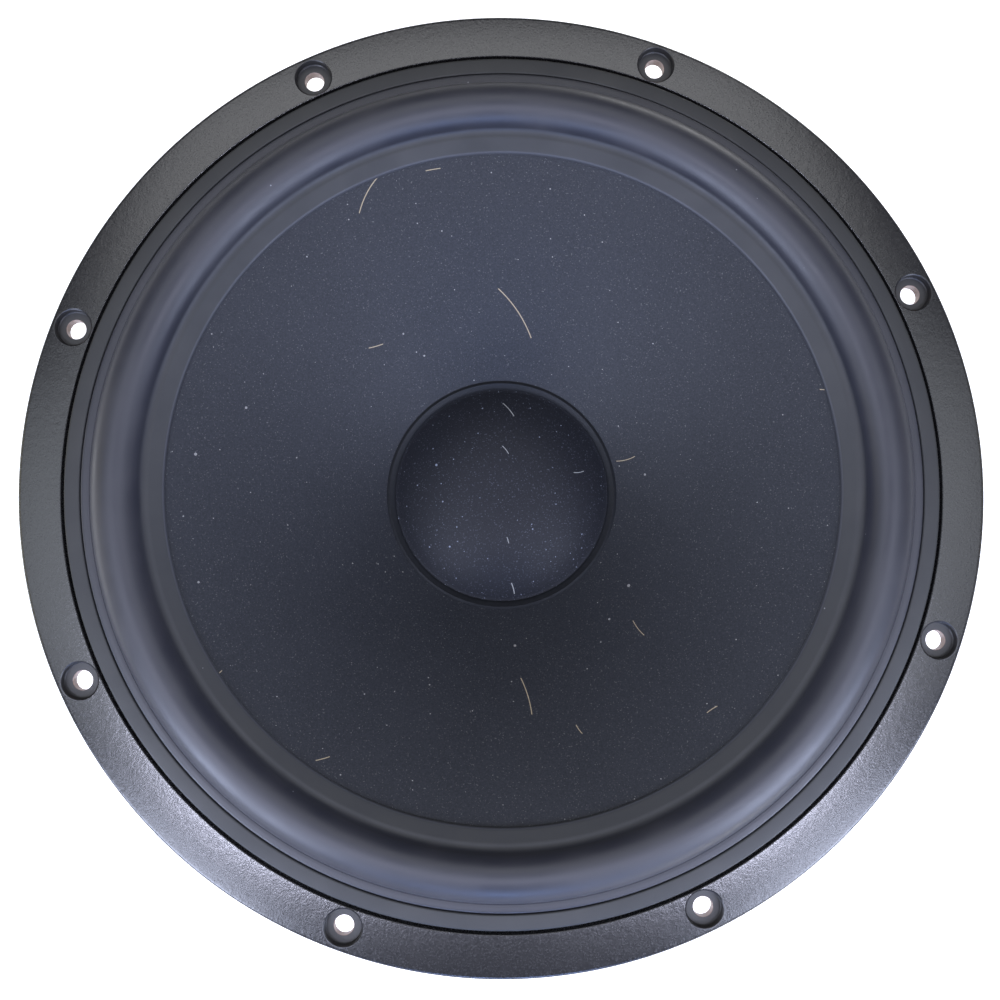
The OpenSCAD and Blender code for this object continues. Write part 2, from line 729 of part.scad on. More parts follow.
basket();
trim_ring();
surround();
spider();
cone();
dust_cap();
cap_bead();
coil_former();
coil_winding();
neck_glue();
coil_leads();
lead_pads();
front_plate();
front_magnet();
rear_magnet();
yoke();
shorting_ring();
magnet_boot();
vent_screen();
motor_screws();
terminal_block();
terminal_cover();
cover_screws();
block_screws();
contact(pad_x);  // plus_contact
contact(-pad_x);  // minus_contact
plunger(pad_x);  // plus_plunger
plunger(-pad_x);  // minus_plunger
button(pad_x, [0.7, 0.08, 0.06]);  // plus_button
button(-pad_x, [0.06, 0.06, 0.06]);  // minus_button
spring(pad_x);  // plus_spring
spring(-pad_x);  // minus_spring
lead(pad_x);  // plus_lead
lead(-pad_x);  // minus_lead
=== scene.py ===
import json
import math

import bmesh
import bpy
from mathutils import Euler, Matrix, Vector, noise


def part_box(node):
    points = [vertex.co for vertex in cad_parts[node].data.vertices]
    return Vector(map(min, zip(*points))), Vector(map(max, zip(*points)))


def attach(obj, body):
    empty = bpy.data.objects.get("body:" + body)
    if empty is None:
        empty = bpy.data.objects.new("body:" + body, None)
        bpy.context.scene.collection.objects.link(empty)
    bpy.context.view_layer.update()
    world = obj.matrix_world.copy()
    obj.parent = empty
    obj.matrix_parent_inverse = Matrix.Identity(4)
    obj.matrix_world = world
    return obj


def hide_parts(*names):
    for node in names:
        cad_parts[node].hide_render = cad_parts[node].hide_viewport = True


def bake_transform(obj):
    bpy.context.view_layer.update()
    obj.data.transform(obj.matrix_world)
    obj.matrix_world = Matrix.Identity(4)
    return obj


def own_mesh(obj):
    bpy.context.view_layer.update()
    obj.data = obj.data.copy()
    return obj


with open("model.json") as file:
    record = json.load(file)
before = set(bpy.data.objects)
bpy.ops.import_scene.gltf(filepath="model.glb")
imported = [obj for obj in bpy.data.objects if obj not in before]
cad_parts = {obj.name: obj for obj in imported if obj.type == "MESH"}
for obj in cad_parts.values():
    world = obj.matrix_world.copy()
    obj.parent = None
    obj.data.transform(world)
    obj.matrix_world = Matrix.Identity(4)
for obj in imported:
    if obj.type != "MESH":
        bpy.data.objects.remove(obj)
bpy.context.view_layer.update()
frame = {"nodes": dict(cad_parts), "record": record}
mm = 0.001
mergeGap = 0.002 * mm  # corners of loose triangles this close are one corner
print("frame loaded:", len(frame["nodes"]), "nodes")


# a node's lowest and highest corners in millimetres
def corners(node):
    return [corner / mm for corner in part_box(node)]


# an interface's own sizes, as the record states them
def mountOf(name):
    return next(m for m in frame["record"]["mounts"] if m["name"] == name)


basketHigh = corners("basket")[1]
ringLow, ringHigh = corners("trim_ring")
rubberLow, rubberHigh = corners("surround")
coneLow, coneHigh = corners("cone")
capHigh = corners("dust_cap")[1]
beadHigh = corners("cap_bead")[1]
formerHigh = corners("coil_former")[1]
windingLow, windingHigh = corners("coil_winding")
spiderLow, spiderHigh = corners("spider")
bootLow, bootHigh = corners("magnet_boot")
plateLow, plateHigh = corners("front_plate")
yokeLow, yokeHigh = corners("yoke")
headLow, headHigh = corners("motor_screws")
coverLow, coverHigh = corners("terminal_cover")
flangeTop, flangeR = basketHigh.z, basketHigh.x
spigotR = mountOf("baffle_spigot")["dims"]["r_mm"]


def addNode(tree, kind, wires=None, **settings):
    node = tree.nodes.new(kind)
    for key, value in settings.items():
        setattr(node, key, value)
    for key, value in (wires or {}).items():
        if isinstance(value, bpy.types.NodeSocket):
            tree.links.new(value, node.inputs[key])
        else:
            node.inputs[key].default_value = value
    return node


def calc(tree, operation, first, second=0.0):
    wires = {0: first, 1: second}
    return addNode(tree, "ShaderNodeMath", wires, operation=operation).outputs[0]


def times(tree, first, second):
    return calc(tree, "MULTIPLY", first, second)


def vectorCalc(tree, operation, first, second=(0, 0, 0)):
    wires = {0: first, 1: second}
    return addNode(tree, "ShaderNodeVectorMath", wires, operation=operation).outputs[0]


def scaled(tree, vector, factor):
    wires = {0: vector, 3: factor}
    return addNode(tree, "ShaderNodeVectorMath", wires, operation="SCALE").outputs[0]


def objectPlace(tree):
    return addNode(tree, "ShaderNodeTexCoord").outputs["Object"]


def grain(tree, place, size, detail=2.0, rough=0.5):
    wires = {"Vector": place, "Scale": 1 / (size * mm), "Detail": detail, "Roughness": rough}
    return addNode(tree, "ShaderNodeTexNoise", wires).outputs["Fac"]


# noise that changes with one number only, such as the distance from the axis
def ringGrain(tree, radius, size, detail):
    wires = {"W": radius, "Scale": 1 / size, "Detail": detail}
    return addNode(tree, "ShaderNodeTexNoise", wires, noise_dimensions="1D").outputs["Fac"]


# maps a value from one range to another, and holds it at the new range's ends
def between(tree, value, low, high, outLow=0.0, outHigh=1.0):
    wires = {0: value, 1: low, 2: high, 3: outLow, 4: outHigh}
    return addNode(tree, "ShaderNodeMapRange", wires).outputs[0]


def blendColour(tree, share, first, second, mode="MIX"):
    node = addNode(tree, "ShaderNodeMix", data_type="RGBA", blend_type=mode)
    for key, value in ((0, share), (6, first), (7, second)):
        if isinstance(value, bpy.types.NodeSocket):
            tree.links.new(value, node.inputs[key])
        elif key == 0:
            node.inputs[0].default_value = value
        else:
            node.inputs[key].default_value = (*value, 1)
    return node.outputs[2]


def bump(tree, height, depth, strength=1.0, below=None):
    wires = {"Height": height, "Distance": depth * mm, "Strength": strength}
    if below is not None:
        wires["Normal"] = below
    return addNode(tree, "ShaderNodeBump", wires).outputs[0]


def newFinish(name, colour, roughness, metallic=0.0, **sockets):
    finish = bpy.data.materials.new(name)
    finish.use_nodes = True
    tree = finish.node_tree
    shader = tree.nodes["Principled BSDF"]
    shader.inputs["Base Color"].default_value = (*colour, 1)
    shader.inputs["Roughness"].default_value = roughness
    shader.inputs["Metallic"].default_value = metallic
    for key, value in sockets.items():
        shader.inputs[key.replace("_", " ")].default_value = value
    return finish, tree, shader


def wire(tree, shader, **sockets):
    for key, value in sockets.items():
        tree.links.new(value, shader.inputs[key.replace("_", " ")])


def steps(first, last, count):
    return [first + (last - first) * i / count for i in range(count + 1)]


def arc(x, z, across, up, fromDeg, toDeg, count):
    turns = [math.radians(a) for a in steps(fromDeg, toDeg, count)]
    return [(x + across * math.cos(a), z + up * math.sin(a)) for a in turns]


# a fillet from first to last, pulled towards corner
def hollow(first, corner, last, count):
    points = []
    for t in steps(0, 1, count)[1:]:
        points.append(tuple(a * (1 - t) ** 2 + 2 * b * t * (1 - t) + c * t * t
                            for a, b, c in zip(first, corner, last)))
    return points


# rounds every corner of a closed outline to the given radius, where its sides allow
def rounded(outline, radius, count=4):
    points = []
    befores, afters = outline[-1:] + outline, outline[1:] + outline[:1]
    for before, corner, after in zip(befores, outline, afters):
        p, a, b = Vector(corner), Vector(before), Vector(after)
        reach = min(radius, (a - p).length * 0.45, (b - p).length * 0.45)
        first = tuple(p + (a - p).normalized() * reach)
        last = tuple(p + (b - p).normalized() * reach)
        points += [first] + hollow(first, corner, last, count)
    return points


def boxed(inner, outer, low, high, radius, count=4):
    return rounded([(inner, low), (outer, low), (outer, high), (inner, high)], radius, count)


def addPiece(name, mesh, finish=None):
    piece = bpy.data.objects.new(name, mesh)
    bpy.context.scene.collection.objects.link(piece)
    if finish is not None:
        mesh.materials.append(finish)
    return piece


def smooth(mesh, degrees=35):
    mesh.shade_smooth()
    mesh.set_sharp_from_angle(angle=math.radians(degrees))


# turns a closed outline, (radius, height) in millimetres, about the place's own z axis
def lathe(form, outline, segments, place=Matrix()):
    rings = []
    for radius, height in outline:
        if radius < 1e-6:
            rings.append([form.verts.new(place @ Vector((0, 0, height * mm)))])
            continue
        turns = [2 * math.pi * i / segments for i in range(segments)]
        rings.append([form.verts.new(place @ Vector((radius * mm * math.cos(a),
                                                     radius * mm * math.sin(a), height * mm)))
                      for a in turns])
    faces = []
    for ring, after in zip(rings, rings[1:] + rings[:1]):
        if len(ring) == 1 and len(after) == 1:
            continue
        for i in range(segments):
            j = (i + 1) % segments
            if len(ring) == 1:
                face = (ring[0], after[i], after[j])
            elif len(after) == 1:
                face = (ring[i], after[0], ring[j])
            else:
                face = (ring[i], after[i], after[j], ring[j])
            faces.append(form.faces.new(face))
    bmesh.ops.recalc_face_normals(form, faces=faces)


def fromForm(name, form, finish, sharp=35):
    mesh = bpy.data.meshes.new(name)
    form.to_mesh(mesh)
    form.free()
    smooth(mesh, sharp)
    return addPiece(name, mesh, finish)


def revolve(name, outline, finish, segments=256, sharp=35, places=(Matrix(),)):
    form = bmesh.new()
    for place in places:
        lathe(form, outline, segments, place)
    return fromForm(name, form, finish, sharp)


def takeOver(piece, body, slotName, *nodes):
    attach(piece, body)
    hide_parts(*nodes)
    return piece


# turns a modifier's result into the piece's plain mesh
def settle(piece, sharp=35):
    depsgraph = bpy.context.evaluated_depsgraph_get()
    mesh = bpy.data.meshes.new_from_object(piece.evaluated_get(depsgraph), depsgraph=depsgraph)
    mesh.name = piece.name
    piece.modifiers.clear()
    piece.data = mesh
    smooth(mesh, sharp)


def roundEdges(piece, width, sharp=35):
    edges = piece.modifiers.new("edges", "BEVEL")
    edges.width = width * mm
    edges.segments = 2
    edges.limit_method = "ANGLE"
    edges.angle_limit = math.radians(50)
    settle(piece, sharp)


# a merged copy of a carried-over node with its edges rounded
def softCopy(name, node, finish, width):
    form = bmesh.new()
    form.from_mesh(frame["nodes"][node].data)
    bmesh.ops.remove_doubles(form, verts=form.verts, dist=mergeGap)
    bmesh.ops.dissolve_limit(form, angle_limit=math.radians(0.5), verts=form.verts,
                             edges=form.edges)
    piece = fromForm(name, form, finish)
    roundEdges(piece, width)
    return piece


def newTree(name, inputs):
    tree = bpy.data.node_groups.new(name, "GeometryNodeTree")
    tree.interface.new_socket(name="Geometry", in_out="OUTPUT",
                              socket_type="NodeSocketGeometry")
    for label, kind in inputs.items():
        tree.interface.new_socket(name=label, in_out="INPUT", socket_type="NodeSocket" + kind)
    return tree, tree.nodes.new("NodeGroupInput").outputs


def endTree(tree, geometry, finish):
    whole = addNode(tree, "GeometryNodeRealizeInstances", {"Geometry": geometry})
    painted = addNode(tree, "GeometryNodeSetMaterial",
                      {"Geometry": whole.outputs[0], "Material": finish})
    addNode(tree, "NodeGroupOutput", {0: painted.outputs[0]})


# runs a tree on an empty mesh with its named inputs set, and keeps the result as a mesh
def grow(name, tree, values, sharp=35):
    piece = addPiece(name, bpy.data.meshes.new(name))
    modifier = piece.modifiers.new("grow", "NODES")
    modifier.node_group = tree
    sockets = {s.name: s.identifier for s in tree.interface.items_tree
               if s.item_type == "SOCKET" and s.in_out == "INPUT"}
    for label, value in values.items():
        modifier[sockets[label]] = value
    settle(piece, sharp)
    return piece


cameraLook = {
    "stands": (-9.1, -35.3, 389.4), "aims": (-1.6, -5.4, 8.0),
    "turnsDeg": -2.64, "lens": 43.1,
}


def makeCamera():
    look = cameraLook
    stands, aims = Vector(look["stands"]) * mm, Vector(look["aims"]) * mm
    ahead = (aims - stands).normalized()
    right = ahead.cross(Vector((0, 1, 0))).normalized()
    turn = Matrix.Rotation(math.radians(look["turnsDeg"]), 3, -ahead)
    right = turn @ right
    up = right.cross(ahead)
    camera = bpy.data.objects.new("camera", bpy.data.cameras.new("camera"))
    camera.data.lens = look["lens"]
    camera.data.sensor_width = 36
    camera.data.clip_start = 0.01
    facing = Matrix((right, up, -ahead)).transposed()
    camera.matrix_world = Matrix.Translation(stands) @ facing.to_4x4()
    bpy.context.scene.collection.objects.link(camera)
    bpy.context.scene.camera = camera


lightLook = {
    "room": (0.93, 0.95, 1.0), "roomStrength": 0.03, "backdrop": 0.97, "floorGlow": 0.95,
    # azimuth, angle from the vertical, distance, width, height, watts, colour
    "softBoxes": {
        "leftKey": (221, 20.5, 1.06, 0.15, 0.15, 2.75, (0.77, 0.79, 1.0)),
        "rightKey": (317, 21.6, 1.07, 0.15, 0.15, 2.6, (0.77, 0.79, 1.0)),
        "leftHigh": (226, 52, 0.55, 0.17, 0.25, 1.55, (0.72, 0.78, 1.0)),
        "rightHigh": (312, 52, 0.55, 0.17, 0.25, 1.55, (0.72, 0.78, 1.0)),
        "leftLow": (222, 70, 0.6, 0.25, 0.16, 1.7, (0.66, 0.74, 1.0)),
        "rightLow": (318, 70, 0.6, 0.25, 0.16, 1.7, (0.66, 0.74, 1.0)),
        "frontLow": (270, 68, 1.0, 0.4, 0.3, 3.4, (0.34, 0.5, 1.0)),
        "backHigh": (90, 30, 1.0, 0.9, 0.4, 2.3, (0.96, 0.97, 1.0)),
        "leftSide": (178, 64, 1.0, 0.4, 0.5, 0.8, (1.0, 0.93, 0.6)),
        "leftTop": (178, 28, 1.0, 0.4, 0.5, 1.1, (0.85, 0.92, 1.0)),
        "rightTop": (2, 28, 1.0, 0.4, 0.5, 1.0, (0.88, 0.93, 1.0)),
        "rightSide": (2, 64, 1.0, 0.4, 0.5, 0.3, (1.0, 0.9, 0.7)),
        "basketFront": (300, 94, 1.2, 0.5, 0.08, 1.6, (1.0, 1.0, 1.0)),
        "basketLeft": (180, 94, 1.2, 0.5, 0.08, 1.6, (1.0, 1.0, 1.0)),
        "basketBack": (60, 94, 1.2, 0.5, 0.08, 1.6, (1.0, 1.0, 1.0)),
    },
}


def makeLights():
    for name, box in lightLook["softBoxes"].items():
        azimuth, fromTop, away, width, height, power, colour = box
        a, p = math.radians(azimuth), math.radians(fromTop)
        out = Vector((math.sin(p) * math.cos(a), math.sin(p) * math.sin(a), math.cos(p)))
        lamp = bpy.data.lights.new(name, "AREA")
        lamp.shape = "RECTANGLE"
        lamp.size, lamp.size_y = width, height
        lamp.energy, lamp.color = power, colour
        holder = bpy.data.objects.new(name, lamp)
        holder.location = out * away
        holder.rotation_mode = "QUATERNION"
        holder.rotation_quaternion = (-out).to_track_quat("-Z", "Y")
        holder.visible_camera = False
        bpy.context.scene.collection.objects.link(holder)
    world = bpy.data.worlds.new("room")
    world.use_nodes = True
    tree = world.node_tree
    tree.nodes["Background"].inputs[0].default_value = (*lightLook["room"], 1)
    seen = addNode(tree, "ShaderNodeLightPath").outputs["Is Camera Ray"]
    strength = between(tree, seen, 0, 1, lightLook["roomStrength"], lightLook["backdrop"])
    tree.links.new(strength, tree.nodes["Background"].inputs[1])
    bpy.context.scene.world = world
    bpy.context.scene.view_settings.view_transform = "Standard"


def makeFloor():
    paint, tree, shader = newFinish("floorPaint", (0.9, 0.9, 0.9), 0.9)
    shader.inputs["Emission Color"].default_value = (1, 1, 1, 1)
    shader.inputs["Emission Strength"].default_value = lightLook["floorGlow"]
    mesh = bpy.data.meshes.new("floor")
    side, level = 6.0, (bootLow.z - 0.5) * mm
    outline = [(-side, -side, level), (side, -side, level), (side, side, level),
               (-side, side, level)]
    mesh.from_pydata(outline, [], [(0, 1, 2, 3)])
    addPiece("floor", mesh, paint)


makeCamera()
makeLights()
makeFloor()
print("camera, lights and floor made")


# tiny pale specks, one in each of a few cells; gap is a cell's size and size a speck's
def specks(tree, place, gap, size, kept):
    cells = addNode(tree, "ShaderNodeTexVoronoi", {"Vector": place, "Scale": 1 / (gap * mm)})
    split = addNode(tree, "ShaderNodeSeparateColor", {0: cells.outputs["Color"]})
    reach = between(tree, split.outputs[1], 0, 1, 0.35 * size / gap, size / gap)
    near = calc(tree, "LESS_THAN", cells.outputs["Distance"], reach)
    chosen = calc(tree, "LESS_THAN", split.outputs[0], kept)
    return times(tree, near, chosen)


# short bowed fibres that lie flat, seen along z; sizes in millimetres
def lint(tree, place, gap, length, width, kept):
    inCells = scaled(tree, place, 1 / (gap * mm))
    cells = addNode(tree, "ShaderNodeTexVoronoi", {"Vector": inCells, "Scale": 1.0},
                    voronoi_dimensions="2D")
    away = vectorCalc(tree, "SUBTRACT", inCells, cells.outputs["Position"])
    pick = addNode(tree, "ShaderNodeSeparateColor", {0: cells.outputs["Color"]})
    angle = times(tree, pick.outputs[1], 2 * math.pi)
    turned = addNode(tree, "ShaderNodeVectorRotate", {"Vector": away, "Angle": angle},
                     rotation_type="Z_AXIS").outputs[0]
    along = addNode(tree, "ShaderNodeSeparateXYZ", {0: turned})
    sway = between(tree, pick.outputs[2], 0, 1, -1.1, 1.1)
    square = times(tree, along.outputs[0], along.outputs[0])
    bow = times(tree, square, sway)
    offLine = calc(tree, "ABSOLUTE", calc(tree, "ADD", along.outputs[1], bow))
    near = calc(tree, "LESS_THAN", offLine, width / gap)
    half = between(tree, pick.outputs[2], 0, 1, 0.25 * length / gap, 0.5 * length / gap)
    short = calc(tree, "LESS_THAN", calc(tree, "ABSOLUTE", along.outputs[0]), half)
    chosen = calc(tree, "LESS_THAN", pick.outputs[0], kept)
    return times(tree, times(tree, near, short), chosen)


# distance from the z axis, in millimetres
def radiusOf(tree, place):
    flat = vectorCalc(tree, "MULTIPLY", place, (1 / mm, 1 / mm, 0))
    return addNode(tree, "ShaderNodeVectorMath", {0: flat}, operation="LENGTH").outputs[1]


boltLook = {
    "count": mountOf("mounting_holes")["dims"]["count"],
    "circle": mountOf("mounting_holes")["dims"]["pcd_mm"] / 2,
    "hole": mountOf("mounting_holes")["dims"]["hole_r_mm"],
    "counterbore": 5.8, "depth": 3.9, "chamfer": 0.4,
}


# distance from the nearest mounting hole's axis, in millimetres
def holeDistance(tree, place):
    spread = 2 * math.pi / boltLook["count"]
    xyz = addNode(tree, "ShaderNodeSeparateXYZ", {0: place})
    angle = calc(tree, "ARCTAN2", xyz.outputs[1], xyz.outputs[0])
    wrapped = addNode(tree, "ShaderNodeMath", {0: angle, 1: spread, 2: 0.0},
                      operation="WRAP").outputs[0]
    local = calc(tree, "SUBTRACT", wrapped, spread / 2)
    radius = radiusOf(tree, place)
    across = times(tree, calc(tree, "SINE", local), radius)
    along = calc(tree, "SUBTRACT", times(tree, calc(tree, "COSINE", local), radius),
                 boltLook["circle"])
    square = calc(tree, "ADD", times(tree, across, across), times(tree, along, along))
    return calc(tree, "SQRT", square)


basketPaintLook = {
    "colour": (0.013, 0.0125, 0.013), "chalk": (0.03, 0.029, 0.029),
    "bare": (0.36, 0.26, 0.22), "scuff": (0.07, 0.068, 0.066), "roughness": 0.235,
    "grainSize": 0.6, "grainDepth": 0.036, "grainPale": 0.35, "peelSize": 2.2,
    "peelDepth": 0.04, "cloudSize": 38, "cloudShare": 0.3, "rubSize": 1.4, "rubStarts": 5.4,
    "rubFull": 4.9, "rubShare": 0.5, "boreCalm": 0.8, "boreRough": 0.28,
}


def makeBasketPaint():
    look = basketPaintLook
    finish, tree, shader = newFinish("basketPaint", look["colour"], look["roughness"],
                                     Specular_IOR_Level=0.9)
    place = objectPlace(tree)
    fine = grain(tree, place, look["grainSize"], 2.0, 0.6)
    peel = grain(tree, place, look["peelSize"], 2.0, 0.5)
    cloud = grain(tree, place, look["cloudSize"], 3.0)
    dusty = times(tree, between(tree, cloud, 0.35, 0.75), look["cloudShare"])
    paint = blendColour(tree, dusty, look["colour"], look["chalk"])
    pale = between(tree, fine, 0.55, 0.8, 0.0, look["grainPale"])
    specky = blendColour(tree, pale, paint, look["chalk"])
    hole = holeDistance(tree, place)
    patchy = between(tree, grain(tree, place, look["rubSize"], 3.0), 0.5, 0.62)
    rub = times(tree, between(tree, hole, look["rubStarts"], look["rubFull"]), patchy)
    scuffed = blendColour(tree, times(tree, rub, look["rubShare"]), specky, look["scuff"])
    inBore = between(tree, hole, boltLook["counterbore"] + 0.5, boltLook["counterbore"] - 0.1)
    dull = blendColour(tree, inBore, scuffed, look["colour"])
    calm = calc(tree, "SUBTRACT", 1.0, times(tree, inBore, look["boreCalm"]))
    # the through holes' walls turn pale tan
    bareShare = between(tree, hole, boltLook["hole"] + 0.2, boltLook["hole"] + 0.05)
    rough = between(tree, fine, 0.3, 0.7, look["roughness"] - 0.03, look["roughness"] + 0.06)
    wire(tree, shader,
         Base_Color=blendColour(tree, bareShare, dull, look["bare"]),
         Roughness=calc(tree, "ADD", rough, times(tree, inBore, look["boreRough"])),
         Normal=bump(tree, fine, look["grainDepth"], calm,
                     bump(tree, peel, look["peelDepth"], calm)))
    return finish


surroundRubberLook = {
    "colour": (0.0145, 0.0155, 0.024), "dusty": (0.034, 0.0325, 0.038), "roughness": 0.44,
    "grainSize": 0.4, "grainDepth": 0.02, "filmSize": 22, "filmShare": 0.4,
    # creases beside the roll's outer foot
    "lineSize": 0.7, "lineDepth": 0.04, "lineReach": 3.0,
    "speck": (0.34, 0.34, 0.36), "speckGap": 7.0, "speckSize": 0.28, "speckKept": 0.3,
    "speckShare": 0.6,
    # how far the glued lip starts inside the roll's outer foot; the lip's darker colour, which
    # is painted shade; and a paler colour on the lip's inner edge, which is a painted highlight
    "lip": (0.0095, 0.0105, 0.0128), "lipInside": 15.2, "lipFade": 1.5, "lipRough": 0.14,
    "edge": (0.04, 0.042, 0.052), "edgeInside": 22.35, "edgeHighlightShare": 0.8,
}


def makeSurroundRubber():
    look = surroundRubberLook
    finish, tree, shader = newFinish("surroundRubber", look["colour"], look["roughness"],
                                     Sheen_Weight=0.05, Sheen_Roughness=0.6,
                                     Specular_IOR_Level=0.7)
    place = objectPlace(tree)
    fine = grain(tree, place, look["grainSize"], 2.0, 0.5)
    film = grain(tree, place, look["filmSize"], 4.0, 0.6)
    radius = radiusOf(tree, place)
    lines = ringGrain(tree, radius, look["lineSize"], 1.0)
    fromFoot = calc(tree, "ABSOLUTE", calc(tree, "SUBTRACT", radius, rollOuter))
    nearFoot = between(tree, fromFoot, look["lineReach"], 0.5)
    creases = times(tree, lines, nearFoot)
    share = times(tree, between(tree, film, 0.4, 0.72), look["filmShare"])
    dots = specks(tree, place, look["speckGap"], look["speckSize"], look["speckKept"])
    dusted = blendColour(tree, share, look["colour"], look["dusty"])
    # the lip's darker colour is painted shade on the same rubber; its extra roughness is real
    lipStarts = rollOuter - look["lipInside"]
    onLip = between(tree, radius, lipStarts, lipStarts - look["lipFade"])
    shadedLip = blendColour(tree, onLip, dusted, look["lip"])
    # a thin paler band at the lip's inner edge is a painted highlight, where the rounded rubber
    # edge would catch light
    fromEdge = calc(tree, "ABSOLUTE",
                    calc(tree, "SUBTRACT", radius, rollOuter - look["edgeInside"]))
    rough = between(tree, film, 0.3, 0.7, look["roughness"] - 0.04, look["roughness"] + 0.1)
    edgeHighlight = between(tree, fromEdge, 0.45, 0.15, 0.0, look["edgeHighlightShare"])
    dustShadeAndHighlight = blendColour(tree, edgeHighlight, shadedLip, look["edge"])
    wire(tree, shader,
         Base_Color=blendColour(tree, times(tree, dots, look["speckShare"]), dustShadeAndHighlight,
                                look["speck"]),
         Roughness=calc(tree, "ADD", times(tree, onLip, look["lipRough"]), rough),
         Normal=bump(tree, fine, look["grainDepth"],
                     below=bump(tree, creases, look["lineDepth"])))
    return finish


conePulpLook = {
    "colour": (0.0095, 0.0112, 0.016), "pale": (0.025, 0.0275, 0.035), "roughness": 0.58,
    "gloss": 0.36, "speck": (0.5, 0.48, 0.46), "thread": (0.62, 0.5, 0.32),
    "fibreSize": 0.6, "fibreDepth": 0.09, "speckGap": 2.8, "speckKept": 0.25, "grit": 0.28,
    "hairGap": 54, "hairLong": 21, "hairKept": 0.3, "shortGap": 21, "shortKept": 0.12,
}
capPulpLook = {
    "colour": (0.006, 0.007, 0.011), "pale": (0.014, 0.0152, 0.022), "roughness": 0.54,
    "gloss": 0.27, "speck": (0.42, 0.47, 0.6), "thread": (0.5, 0.52, 0.52),
    "fibreSize": 0.5, "fibreDepth": 0.03, "speckGap": 2.2, "speckKept": 0.6, "grit": 0.25,
    "hairGap": 26, "hairLong": 7, "hairKept": 0.2, "shortGap": 13, "shortKept": 0.16,
}
# what the cone and the cap share, in millimetres; largeGap and shortLong are times a gap,
# and speckTop and dustShare say how strongly the dust shows
dustLook = {
    "cloudSize": 30, "gritSize": 0.5, "speckSize": 0.27, "largeSize": 0.6, "largeGap": 3,
    "hairWide": 0.16, "shortLong": 0.3, "shortWide": 0.13, "speckTop": 0.9, "dustShare": 0.5,
}


def makePulp(name, look):
    dust = dustLook
    finish, tree, shader = newFinish(name, look["colour"], look["roughness"],
                                     Sheen_Weight=0.03, Sheen_Roughness=0.5,
                                     Specular_IOR_Level=look["gloss"])
    place = objectPlace(tree)
    fibre = grain(tree, place, look["fibreSize"], 5.0, 0.7)
    coarse = grain(tree, place, dust["cloudSize"], 3.0, 0.55)
    pulp = blendColour(tree, between(tree, fibre, 0.42, 0.78), look["colour"], look["pale"])
    clouded = blendColour(tree, between(tree, coarse, 0.3, 0.8, 0.0, 0.25), pulp, look["pale"])
    gap, kept = look["speckGap"], look["speckKept"]
    gritty = grain(tree, place, dust["gritSize"], 1.0)
    grit = between(tree, gritty, 0.66, 0.74, 0.0, look["grit"])
    small = specks(tree, place, gap, dust["speckSize"], kept)
    large = specks(tree, place, gap * dust["largeGap"], dust["largeSize"], kept)
    spots = times(tree, calc(tree, "MAXIMUM", small, large), dust["speckTop"])
    dots = times(tree, calc(tree, "MAXIMUM", grit, spots), dust["dustShare"])
    dusted = blendColour(tree, dots, clouded, look["speck"])
    long = lint(tree, place, look["hairGap"], look["hairLong"], dust["hairWide"],
                look["hairKept"])
    short = lint(tree, place, look["shortGap"], look["shortGap"] * dust["shortLong"],
                 dust["shortWide"], look["shortKept"])
    hairs = times(tree, calc(tree, "MAXIMUM", long, short), dust["dustShare"])
    wire(tree, shader,
         Base_Color=blendColour(tree, hairs, dusted, look["thread"]),
         Roughness=between(tree, fibre, 0.3, 0.7, look["roughness"] + 0.06,
                           look["roughness"] - 0.05),
         Normal=bump(tree, fibre, look["fibreDepth"]))
    return finish


spiderClothLook = {
    "colour": (0.34, 0.2, 0.07), "pale": (0.56, 0.4, 0.19), "roughness": 0.72,
    "thread": 0.9, "depth": 0.12, "stirSize": 9,
}


# a plain weave: threads along x and y that pass over each other in turn
def makeSpiderCloth():
    look = spiderClothLook
    finish, tree, shader = newFinish("spiderCloth", look["colour"], look["roughness"])
    place = objectPlace(tree)
    stir = grain(tree, place, look["stirSize"], 2.0)
    xyz = addNode(tree, "ShaderNodeSeparateXYZ", {0: place})
    turn = math.pi / (look["thread"] * mm)
    x, y = (times(tree, xyz.outputs[i], turn) for i in (0, 1))
    warp = calc(tree, "ABSOLUTE", calc(tree, "SINE", x))
    weft = calc(tree, "ABSOLUTE", calc(tree, "SINE", y))
    over = calc(tree, "GREATER_THAN",
                times(tree, calc(tree, "SINE", x), calc(tree, "SINE", y)), 0.0)
    height = addNode(tree, "ShaderNodeMix", {0: over, 2: warp, 3: weft}).outputs[0]
    shade = times(tree, height, between(tree, stir, 0.3, 0.7, 0.6, 1.0))
    wire(tree, shader,
         Base_Color=blendColour(tree, shade, look["colour"], look["pale"]),
         Normal=bump(tree, height, look["depth"]))
    return finish


def plainGrain(name, colour, pale, roughness, size, depth, metallic=0.0, **sockets):
    finish, tree, shader = newFinish(name, colour, roughness, metallic, **sockets)
    place = objectPlace(tree)
    fine = grain(tree, place, size, 3.0, 0.55)
    cloud = grain(tree, place, size * 40, 3.0)
    mixed = times(tree, calc(tree, "ADD", fine, cloud), 0.5)
    wire(tree, shader,
         Base_Color=blendColour(tree, between(tree, mixed, 0.35, 0.65), colour, pale),
         Roughness=between(tree, cloud, 0.3, 0.7, roughness - 0.05, roughness + 0.07),
         Normal=bump(tree, fine, depth))
    return finish


